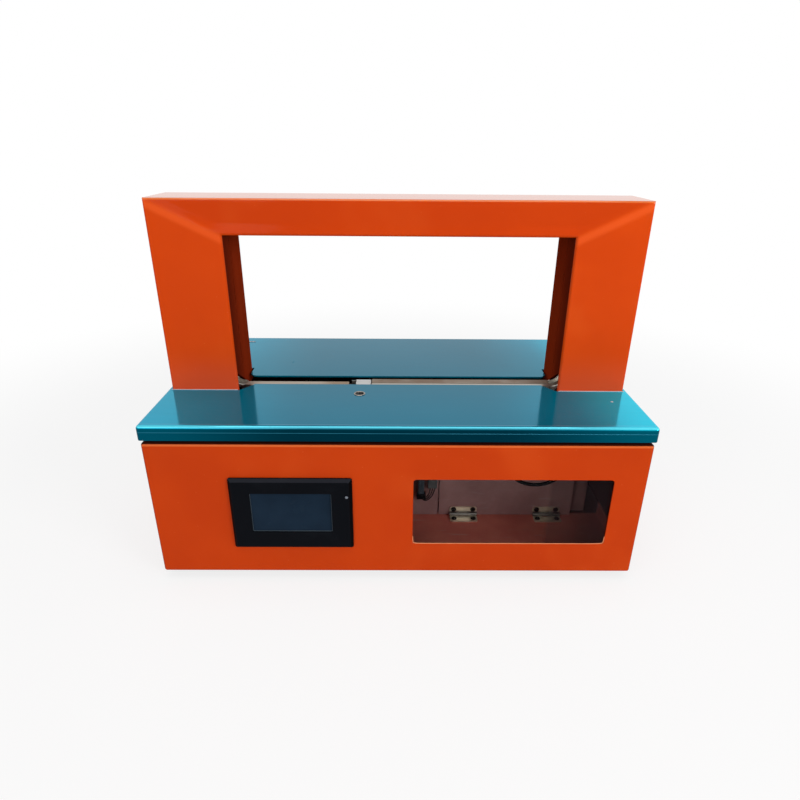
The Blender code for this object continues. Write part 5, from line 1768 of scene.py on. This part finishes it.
        # Faces round the opening take the coat with painted shade
        self.wardrobe.patch(skin, "inner_coat", self.inside)

    def inside(self, place: Vector) -> bool:
        """Tells the faces round the opening, which take the darker coat of painted shade.

        Args:
            place: The middle of a face.

        Returns:
            True for a face round the opening.
        """
        depth = self.bend * 0.9
        level = place.z < self.under + self.sheet + 0.2 * MM
        beside = abs(place.x) < self.opening + self.sheet + 0.2 * MM
        within = self.front + depth < place.y < self.back - depth
        return within and level and beside


@dataclass
class TapePath(Assembly):
    """Tracks in the slot and the curved guides that lead the tape into the arch."""

    PAINTED = {"track_steel": ("right_slot_track",), "worn_steel": ("left_slot_track",)}

    start: float = 197.0 * MM
    radius: float = 17.0 * MM
    lip: float = 3.0 * MM
    sheet: float = 1.5 * MM
    track_front: float = -33.5 * MM
    left_width: float = 16.5 * MM
    right_width: float = 21.5 * MM
    low_centre: float = 228.0 * MM
    high_centre: float = 397.5 * MM
    steps: int = 28
    foot_inset: float = 0.3 * MM
    foot_reach: float = 6.0 * MM
    foot_low: float = 200.0 * MM
    foot_high: float = 207.2 * MM

    def section(self, width: float) -> list[Pair]:
        """Section of the channel as pairs of depth and height over its floor.

        Args:
            width: Width of the channel.

        Returns:
            The section's points.
        """
        front, back, soft = self.track_front, self.track_front + width, 0.4 * MM
        return [(front, -self.sheet), (back, -self.sheet), (back, self.lip - soft),
                (back - soft, self.lip), (back - self.sheet + soft, self.lip),
                (back - self.sheet, self.lip - soft), (back - self.sheet, 0.0),
                (front + self.sheet, 0.0), (front + self.sheet, self.lip - soft),
                (front + self.sheet - soft, self.lip), (front + soft, self.lip), (front, self.lip - soft)]

    def guide(self, name: str, side: int, width: float, centre: float, upward: int) -> bpy.types.Object:
        """Quarter-round channel from level at the slot to upright in the leg.

        Args:
            name: The object's name.
            side: -1 on the left and 1 on the right.
            width: Width of the channel.
            centre: Height of the curve's centre.
            upward: 1 where the level end is at the top, -1 where it is at the bottom.

        Returns:
            The object.
        """
        rings = []
        for step in range(self.steps + 1):
            angle = math.pi / 2 * step / self.steps
            ring = []
            for depth, up in self.section(width):
                arm = self.radius + self.lip - up
                ring.append((side * (self.start + arm * math.sin(angle)), depth,
                             centre + upward * arm * math.cos(angle)))
            rings.append(ring)
        return loft(name, rings)

    def pieces(self) -> None:
        """Makes the four curved guides."""
        for word, side, width in (("left", -1, self.left_width), ("right", 1, self.right_width)):
            low = self.guide(f"lower_{word}_curve", side, width, self.low_centre, -1)
            ends = (self.start + self.foot_inset, self.start + self.foot_reach)
            near, far = sorted(side * end for end in ends)
            foot = block(f"{word}_foot_tool", (near, self.track_front + self.sheet, self.foot_low),
                         (far, self.track_front + width - self.sheet, self.foot_high))
            carve(low, [foot], keep=True)
            self.wardrobe.dress(settle(low), "guide_steel", nodes=[f"lower_{word}_guide"])
            high = self.guide(f"upper_{word}_curve", side, self.left_width, self.high_centre, 1)
            # The upper guides take the coat with painted shade
            self.wardrobe.dress(settle(high), "inner_coat", nodes=[f"upper_{word}_guide"])


@dataclass
class SealingHead(Assembly):
    """Block, anvil, blades and cam under the slot, with the tape feed beside them."""

    PAINTED = {"steel": ("head_block", "left_gripper", "sealing_press", "right_gripper"),
               "turned_steel": ("cam_shaft", "reel_spindle"), "motor_case": ("cam_motor", "feed_motor"),
               "rubber": ("drive_roller", "pinch_roller"), "reel_board": ("tape_reel",)}

    anvil_low: Point = (-55.25 * MM, -36.0 * MM, 205.2 * MM)
    anvil_high: Point = (-35.75 * MM, -11.5 * MM, 210.2 * MM)

    def pieces(self) -> None:
        """Makes the anvil."""
        anvil = block("anvil_plate", self.anvil_low, self.anvil_high, 0.5 * MM)
        self.wardrobe.dress(settle(anvil), "white_nylon", "anvil", ["sealing_anvil"])


@dataclass
class Screen(Assembly):
    """Touch screen: bezel, dark glass with its pale border, housing and lamp."""

    PAINTED = {"screen_glass": ("screen_glass",), "black_plastic": ("screen_housing",)}
    # How far the pale border stands in from the sight's left, bottom, right and top
    BORDER = (0.7 * MM, 0.9 * MM, 0.6 * MM, 0.6 * MM)

    left: float = -195.4 * MM
    right: float = -53.0 * MM
    bottom: float = 50.5 * MM
    top: float = 146.6 * MM
    front: float = -161.0 * MM
    back: float = -155.3 * MM
    chamfer: float = 4.0 * MM
    corner: float = 2.5 * MM
    centre: Pair = (-124.2 * MM, 101.8 * MM)
    glass: Pair = (94.2 * MM, 53.2 * MM)
    housing: Pair = (116.0 * MM, 72.0 * MM)
    glass_front: float = -158.9 * MM
    lamp: Pair = (-59.4 * MM, 123.6 * MM)
    lamp_radius: float = 1.8 * MM
    lamp_seat: float = 0.5 * MM
    lamp_angle: float = 50.0
    fit: float = 0.3 * MM

    def bezel(self) -> None:
        """Chamfered bezel with its sight and the lamp's bore."""
        depth = self.back - self.front
        insets = ((0.0, self.back), (0.0, self.front + self.chamfer), (0.35 * MM, self.front + 3.4 * MM),
                  (3.3 * MM, self.front + 0.45 * MM), (self.chamfer, self.front))
        rings = []
        for inset, y in insets:
            outline = rounded_box((self.left + inset, self.bottom + inset),
                                  (self.right - inset, self.top - inset), self.corner)
            rings.append([(x, y, z) for x, z in outline])
        bezel = loft("screen_frame", rings)
        x, z = self.centre
        wide, high = self.housing[0] / 2 + self.fit, self.housing[1] / 2 + self.fit
        recess = block("recess_tool", (x - wide, self.glass_front - self.fit, z - high),
                       (x + wide, self.back + depth, z + high))
        half_x, half_z = self.glass[0] / 2, self.glass[1] / 2
        sight = prism("sight_tool", rounded_box((x - half_x, z - half_z), (x + half_x, z + half_z), MM),
                      Axis.Y, self.front - MM, self.glass_front + MM)
        radius = self.lamp_radius + self.fit
        bore = turned("lamp_tool", [(0.0, self.front - MM), (radius, self.front - MM),
                                    (radius, self.back + MM), (0.0, self.back + MM)],
                      Axis.Y, self.lamp, SMALL_STEPS)
        carve(bezel, [recess, sight, bore])
        self.wardrobe.dress(settle(bezel, CRISP_ANGLE), "black_plastic", nodes=["screen_bezel"])
        # The chamfer takes painted light: a highlight on its upper edge and shade on the other three
        self.wardrobe.patch(bezel, "facet_shade", lambda place: self.facet(place, False))
        self.wardrobe.patch(bezel, "facet_highlight", lambda place: self.facet(place, True))

    def facet(self, place: Vector, upper: bool) -> bool:
        """Tells the faces of the bezel's chamfer.

        Args:
            place: The middle of a face.
            upper: True for the upper edge's chamfer, False for the other three.

        Returns:
            True for a face of that part of the chamfer.
        """
        sloped = self.front + 0.3 * MM < place.y < self.front + self.chamfer - 0.2 * MM
        rim = min(place.x - self.left, self.right - place.x, place.z - self.bottom, self.top - place.z)
        return sloped and rim < self.chamfer and (self.top - place.z <= rim) == upper

    def border(self) -> None:
        """The panel's pale border just inside the sight."""
        x, z = self.centre
        half_x, half_z = (size / 2 - 0.1 * MM for size in self.glass)
        left, low, right, high = self.BORDER
        border = prism("screen_border", rounded_box((x - half_x, z - half_z), (x + half_x, z + half_z), MM),
                       Axis.Y, self.glass_front - 0.25 * MM, self.glass_front - 0.05 * MM)
        inner = prism("border_tool", rounded_box((x - half_x + left, z - half_z + low),
                                                 (x + half_x - right, z + half_z - high), MM),
                      Axis.Y, self.glass_front - MM, self.glass_front + MM)
        carve(border, [inner])
        self.wardrobe.dress(settle(border), "grey_plastic")

    def lens(self) -> None:
        """The lamp's lens."""
        radius, seat = self.lamp_radius, self.back - self.lamp_seat
        profile = [(0.0, seat), (radius, seat), (radius, self.front + 0.3 * MM),
                   (radius * 0.8, self.front + 0.1 * MM), (0.0, self.front)]
        lamp = settle(turned("lamp_dome", profile, Axis.Y, self.lamp, SMALL_STEPS), self.lamp_angle)
        self.wardrobe.dress(lamp, "lamp_lens", nodes=["power_lamp"])

    def pieces(self) -> None:
        """Makes the bezel, the border and the lamp."""
        self.bezel()
        self.border()
        self.lens()


@dataclass
class Interior(Assembly):
    """What shows through the window: flap, divider, hinges, interlock switch and its wires."""

    PAINTED = {"zinc_sheet": ("inner_flap", "divider_panel"), "soft_black": ("interlock_switch",),
               "turned_steel": ("left_hinge_pin", "right_hinge_pin"), "smoked_acrylic": ("window_pane",)}
    # Share of the half width and height over the lowest point, from the loom's middle outwards
    LOOM_ARC = ((0.0, -1.5 * MM), (0.4, 2.5 * MM), (0.72, 13.0 * MM), (0.9, 40.0 * MM), (1.0, 58.5 * MM))
    # Name, finish, lowest and highest corner from the switch's own, and radius of the edges
    BLOCKS = (
        ("switch_plug", "grey_plastic", (2.5 * MM, MM, -28.0 * MM), (10.5 * MM, 9.0 * MM, 0.0), 0.8 * MM),
        ("plug_boot", "soft_black", (0.5 * MM, 0.0, -36.0 * MM), (13.0 * MM, 10.0 * MM, -28.0 * MM),
         1.4 * MM),
        ("terminal_box", "smoke_grey", (15.5 * MM, 4.0 * MM, -21.0 * MM),
         (28.5 * MM, 14.0 * MM, 6.0 * MM), 1.2 * MM),
    )
    # Places along a lead from the switch's corner, then how each moves with the lead's own shift
    LEAD = (((17.0 * MM, 6.0 * MM, -20.0 * MM), (1.0, 0.0)), ((16.0 * MM, 5.0 * MM, -29.0 * MM), (1.0, 0.0)),
            ((12.5 * MM, 4.0 * MM, -33.0 * MM), (0.5, -1.0)), ((9.0 * MM, 5.0 * MM, -37.0 * MM), (0.0, -0.5)),
            ((4.0 * MM, 5.0 * MM, -34.0 * MM), (0.5, 0.0)))
    LEAD_SHIFTS = (2.5 * MM, 5.5 * MM, 8.5 * MM)

    hinge_y: float = -42.6 * MM
    hinge_z: float = 19.0 * MM
    leaf: float = 38.0 * MM
    floor_reach: float = 15.5 * MM
    flap_reach: float = 10.6 * MM
    leaf_sheet: float = 1.2 * MM
    leaf_corner: float = 2.0 * MM
    knuckle: float = 2.9 * MM
    knuckle_width: float = 12.6 * MM
    barrel_steps: int = 32
    pin: float = 1.5 * MM
    fit: float = 0.3 * MM
    hinge_places: Pair = (92.5 * MM, 209.5 * MM)
    screw_spread: float = 13.5 * MM
    floor_screw: float = 8.06 * MM
    flap_screw: float = 6.572 * MM
    screw_scale: float = 1.15
    screw_rise: float = 0.6
    switch_low: Point = (25.5 * MM, -53.7 * MM, 85.8 * MM)
    lead_radius: float = 0.8 * MM
    loom_low: Point = (162.0 * MM, -140.0 * MM, 129.0 * MM)
    loom_half: float = 44.0 * MM
    loom_radius: float = 2.2 * MM
    wall_dot: Point = (284.6 * MM, -36.0 * MM, 27.5 * MM)
    dot_scale: float = 0.7

    def barrel(self, name: str, start: float, end: float) -> bpy.types.Object:
        """One knuckle of a hinge, as a short tube about the pin.

        Args:
            name: The object's name.
            start: Where it starts along the pin.
            end: Where it ends.

        Returns:
            The tube.
        """
        soft = 0.35 * MM
        profile = [(self.pin, start), (self.knuckle - soft, start), (self.knuckle, start + soft),
                   (self.knuckle, end - soft), (self.knuckle - soft, end), (self.pin, end),
                   (self.pin, start)]
        return turned(name, profile, Axis.X, (self.hinge_y, self.hinge_z), self.barrel_steps)

    def rolled(self, place: Vector) -> bool:
        """Tells the faces of a leaf that are rolled round the pin.

        Args:
            place: The middle of a face.

        Returns:
            True for a face of a knuckle.
        """
        return math.hypot(place.y - self.hinge_y, place.z - self.hinge_z) < self.knuckle + 0.05 * MM

    def hinge(self, word: str, middle: float) -> None:
        """One butt hinge: its two leaves with their knuckles and screws.

        Args:
            word: Which hinge it is.
            middle: The middle of its leaves.
        """
        left, right = middle - self.leaf / 2, middle + self.leaf / 2
        near, far = middle - self.knuckle_width / 2, middle + self.knuckle_width / 2
        clear, corner = self.knuckle + self.fit, self.leaf_corner
        y, z = self.hinge_y, self.hinge_z
        free = y - self.floor_reach
        outline = [(left + corner, free), (right - corner, free), (right, free + corner), (right, y),
                   (far + self.fit, y), (far + self.fit, y - clear), (near - self.fit, y - clear),
                   (near - self.fit, y), (left, y), (left, free + corner)]
        low = z - self.knuckle
        floor_leaf = prism(f"{word}_lower_leaf", outline, Axis.Z, low, low + self.leaf_sheet)
        carve(floor_leaf, [self.barrel("barrel_a", left, near - self.fit),
                           self.barrel("barrel_b", far + self.fit, right)], keep=True)
        self.wardrobe.dress(settle(floor_leaf), "hinge_nickel", nodes=[f"{word}_hinge_floor_leaf"])
        # The knuckles take the darker turned steel: painted shade on the rolled faces
        self.wardrobe.patch(floor_leaf, "turned_steel", self.rolled)
        free = z + self.flap_reach
        outline = [(near, z), (far, z), (far, z + clear), (right, z + clear), (right, free - corner),
                   (right - corner, free), (left + corner, free), (left, free - corner),
                   (left, z + clear), (near, z + clear)]
        back = y + self.knuckle
        flap_leaf = prism(f"{word}_upper_leaf", outline, Axis.Y, back - self.leaf_sheet, back)
        carve(flap_leaf, [self.barrel("barrel_c", near, far)], keep=True)
        self.wardrobe.dress(settle(flap_leaf), "hinge_nickel", "flap", [f"{word}_hinge_flap_leaf"])
        # Painted shade on the rolled faces, as on the lower leaf
        self.wardrobe.patch(flap_leaf, "turned_steel", self.rolled)
        for side, shift in (("a", -self.screw_spread), ("b", self.screw_spread)):
            seat = (middle + shift, y - self.floor_screw, low + self.leaf_sheet)
            self.head.place(f"{word}_floor_screw_{side}", seat, (0, 0, 1), self.screw_scale, "dark_steel",
                            rise=self.screw_rise)
            seat = (middle + shift, back - self.leaf_sheet, z + self.flap_screw)
            self.head.place(f"{word}_flap_screw_{side}", seat, (0, -1, 0), self.screw_scale, "dark_steel",
                            "flap", self.screw_rise)

    def plug(self) -> None:
        """The switch's plug with its boot, and its terminal box."""
        for name, finish, low, high, radius in self.BLOCKS:
            ends = [[start + step for start, step in zip(self.switch_low, corner)]
                    for corner in (low, high)]
            self.wardrobe.dress(settle(block(name, *ends, radius)), finish)

    def leads(self) -> None:
        """The three leads from the terminal box to the plug."""
        x, y, z = self.switch_low
        for index, shift in enumerate(self.LEAD_SHIFTS):
            route = [(x + across + shift * aside, y + depth, z + up + shift * lift)
                     for (across, depth, up), (aside, lift) in self.LEAD]
            self.wardrobe.dress(wire(f"switch_lead_{index}", route, self.lead_radius), "soft_black")

    def loom(self) -> None:
        """The loom that hangs in an arc behind the window."""
        middle, depth, low = self.loom_low
        arc = [(-share, rise) for share, rise in reversed(self.LOOM_ARC[1:])] + list(self.LOOM_ARC)
        route = [(middle + self.loom_half * share, depth, low + rise) for share, rise in arc]
        self.wardrobe.dress(wire("window_loom", route, self.loom_radius), "soft_black")

    def pieces(self) -> None:
        """Makes the hinges, the switch's plug and leads, and the loom."""
        for word, middle in zip(("left", "right"), self.hinge_places):
            self.hinge(word, middle)
        self.plug()
        self.leads()
        self.loom()
        self.head.place("tray_screw", self.wall_dot, (-1, 0, 0), self.dot_scale)


@dataclass
class Electrics(Assembly):
    """Supply, board, mains inlet and its switch."""

    PAINTED = {"supply_case": ("power_supply",), "circuit_board": ("control_board",),
               "black_plastic": ("power_inlet",), "soft_black": ("switch_rocker",)}


# Studio

@dataclass
class Studio:
    """Pale floor, plain soft light and the camera at the photograph's viewing angle."""

    # Name, place, the point that it faces, size in metres and power in watts of each lamp
    LAMPS = (("overhead", (0.0, -0.4, 2.1), (0.0, 0.0, 0.1), 1.6, 15.0),
             ("front_left", (-1.2, -2.0, 1.0), (0.0, 0.0, 0.15), 1.4, 12.0),
             ("front_right", (1.7, -1.6, 0.9), (0.0, 0.0, 0.15), 0.9, 24.0))

    camera_place: Point = (-3.488 * MM, -726.615 * MM, 498.158 * MM)
    yaw: float = 0.4797
    pitch: float = 23.9438
    roll: float = 0.4538
    focal_pixels: float = 581.22
    frame_pixels: int = 800
    sensor: float = 36.0
    sky: float = 0.36
    floor_glow: float = 0.78
    clear_from: float = 0.55
    clear_to: float = 1.3
    floor_half: float = 30.0
    floor_light: tuple[float, ...] = (0.9, 0.9, 0.9, 1.0)
    floor_dark: tuple[float, ...] = (0.88, 0.88, 0.88, 1.0)

    def camera(self) -> None:
        """Puts the camera where the photograph was taken from."""
        a, b, c = (math.radians(angle) for angle in (self.yaw, self.pitch, self.roll))
        ahead = Vector((math.sin(a) * math.cos(b), math.cos(a) * math.cos(b), -math.sin(b)))
        right = Vector((math.cos(a), -math.sin(a), 0.0))
        up = right.cross(ahead)
        turned_right = right * math.cos(c) + up * math.sin(c)
        turned_up = up * math.cos(c) - right * math.sin(c)
        data = bpy.data.cameras.new("photo_camera")
        data.sensor_width = self.sensor
        data.lens = self.focal_pixels * self.sensor / self.frame_pixels
        data.clip_start = 0.01
        item = bpy.data.objects.new("photo_camera", data)
        bpy.context.scene.collection.objects.link(item)
        turn = Matrix((turned_right, turned_up, -ahead)).transposed().to_4x4()
        item.matrix_world = Matrix.Translation(self.camera_place) @ turn
        bpy.context.scene.camera = item

    def seen(self, shader: Shader) -> Value:
        """Tells rays that show the background from those that only light the machine.

        Args:
            shader: The tree that asks.

        Returns:
            One for rays from the camera, a gloss or a clear sheet, otherwise nought.
        """
        paths = [shader.node("ShaderNodeLightPath", {}, {}, f"Is {word} Ray")
                 for word in ("Camera", "Glossy", "Transmission")]
        return (paths[0] + paths[1] + paths[2]).math("MINIMUM", 1.0)

    def floor(self) -> None:
        """Pale floor that keeps the machine's shadow."""
        shader = Shader("pale_floor")
        cloud = shader.noise(3.0, 2.0)
        plain = shader.node("ShaderNodeBsdfPrincipled", {}, {
            "Base Color": shader.blend(cloud * 0.3, self.floor_light, self.floor_dark),
            "Roughness": 0.9, "Specular IOR Level": 0.0}, "BSDF")
        away = shader.node("ShaderNodeVectorMath", {"operation": "LENGTH"}, {0: shader.place()}, "Value")
        clear = self.floor_glow + (1.0 - self.floor_glow) * away.step(self.clear_from, self.clear_to)
        glow = shader.node("ShaderNodeEmission", {}, {"Color": WHITE, "Strength": 1.0})
        made = shader.node("ShaderNodeMixShader", {}, {0: self.seen(shader) * clear, 1: plain, 2: glow})
        shader.tree.links.new(made.socket, shader.output.inputs["Surface"])
        shape = bmesh.new()
        bmesh.ops.create_grid(shape, x_segments=4, y_segments=4, size=self.floor_half)
        ground = from_shape("studio_floor", shape)
        ground.data.materials.append(shader.material)
        ground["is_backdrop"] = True

    def world(self) -> None:
        """Plain white sky, dimmer as a light than it looks."""
        sky = bpy.data.worlds.new("studio_sky")
        sky.use_nodes = True
        shader = Shader("sky_tree")
        shader.tree = sky.node_tree
        shader.tree.nodes.clear()
        seen = self.seen(shader)
        dim = shader.node("ShaderNodeBackground", {}, {"Color": WHITE, "Strength": self.sky})
        bright = shader.node("ShaderNodeBackground", {}, {"Color": WHITE, "Strength": 1.0})
        made = shader.node("ShaderNodeMixShader", {}, {0: seen, 1: dim, 2: bright})
        end = shader.tree.nodes.new("ShaderNodeOutputWorld")
        shader.tree.links.new(made.socket, end.inputs["Surface"])
        bpy.data.materials.remove(shader.material)
        bpy.context.scene.world = sky

    def light(self) -> None:
        """Three large soft lamps."""
        for name, place, aim, size, power in self.LAMPS:
            data = bpy.data.lights.new(name, "AREA")
            data.energy = power
            data.size = size
            item = bpy.data.objects.new(name, data)
            bpy.context.scene.collection.objects.link(item)
            item.location = place
            item.rotation_euler = (Vector(place) - Vector(aim)).to_track_quat("Z", "Y").to_euler()

    def build(self) -> None:
        """Sets up the camera, floor, sky and lamps."""
        self.camera()
        self.floor()
        self.world()
        self.light()
        bpy.context.scene.view_settings.view_transform = "Standard"


def corners() -> list[list[float]]:
    """Lowest and highest corner of the shown machine as plain lists."""
    return [list(corner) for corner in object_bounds()]


def main() -> None:
    """Builds every sub-assembly in order."""
    logging.basicConfig(level=logging.INFO, format="%(name)s %(message)s")
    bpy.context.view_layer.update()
    wardrobe = Wardrobe()
    head = ScrewHead(wardrobe)
    Studio().build()
    for kind in (Cabinet, Table, Arch, TapePath, SealingHead, Screen, Interior, Electrics):
        kind(wardrobe, head).build()
    LOG.info("boxes written")


if __name__ == "__main__":
    main()
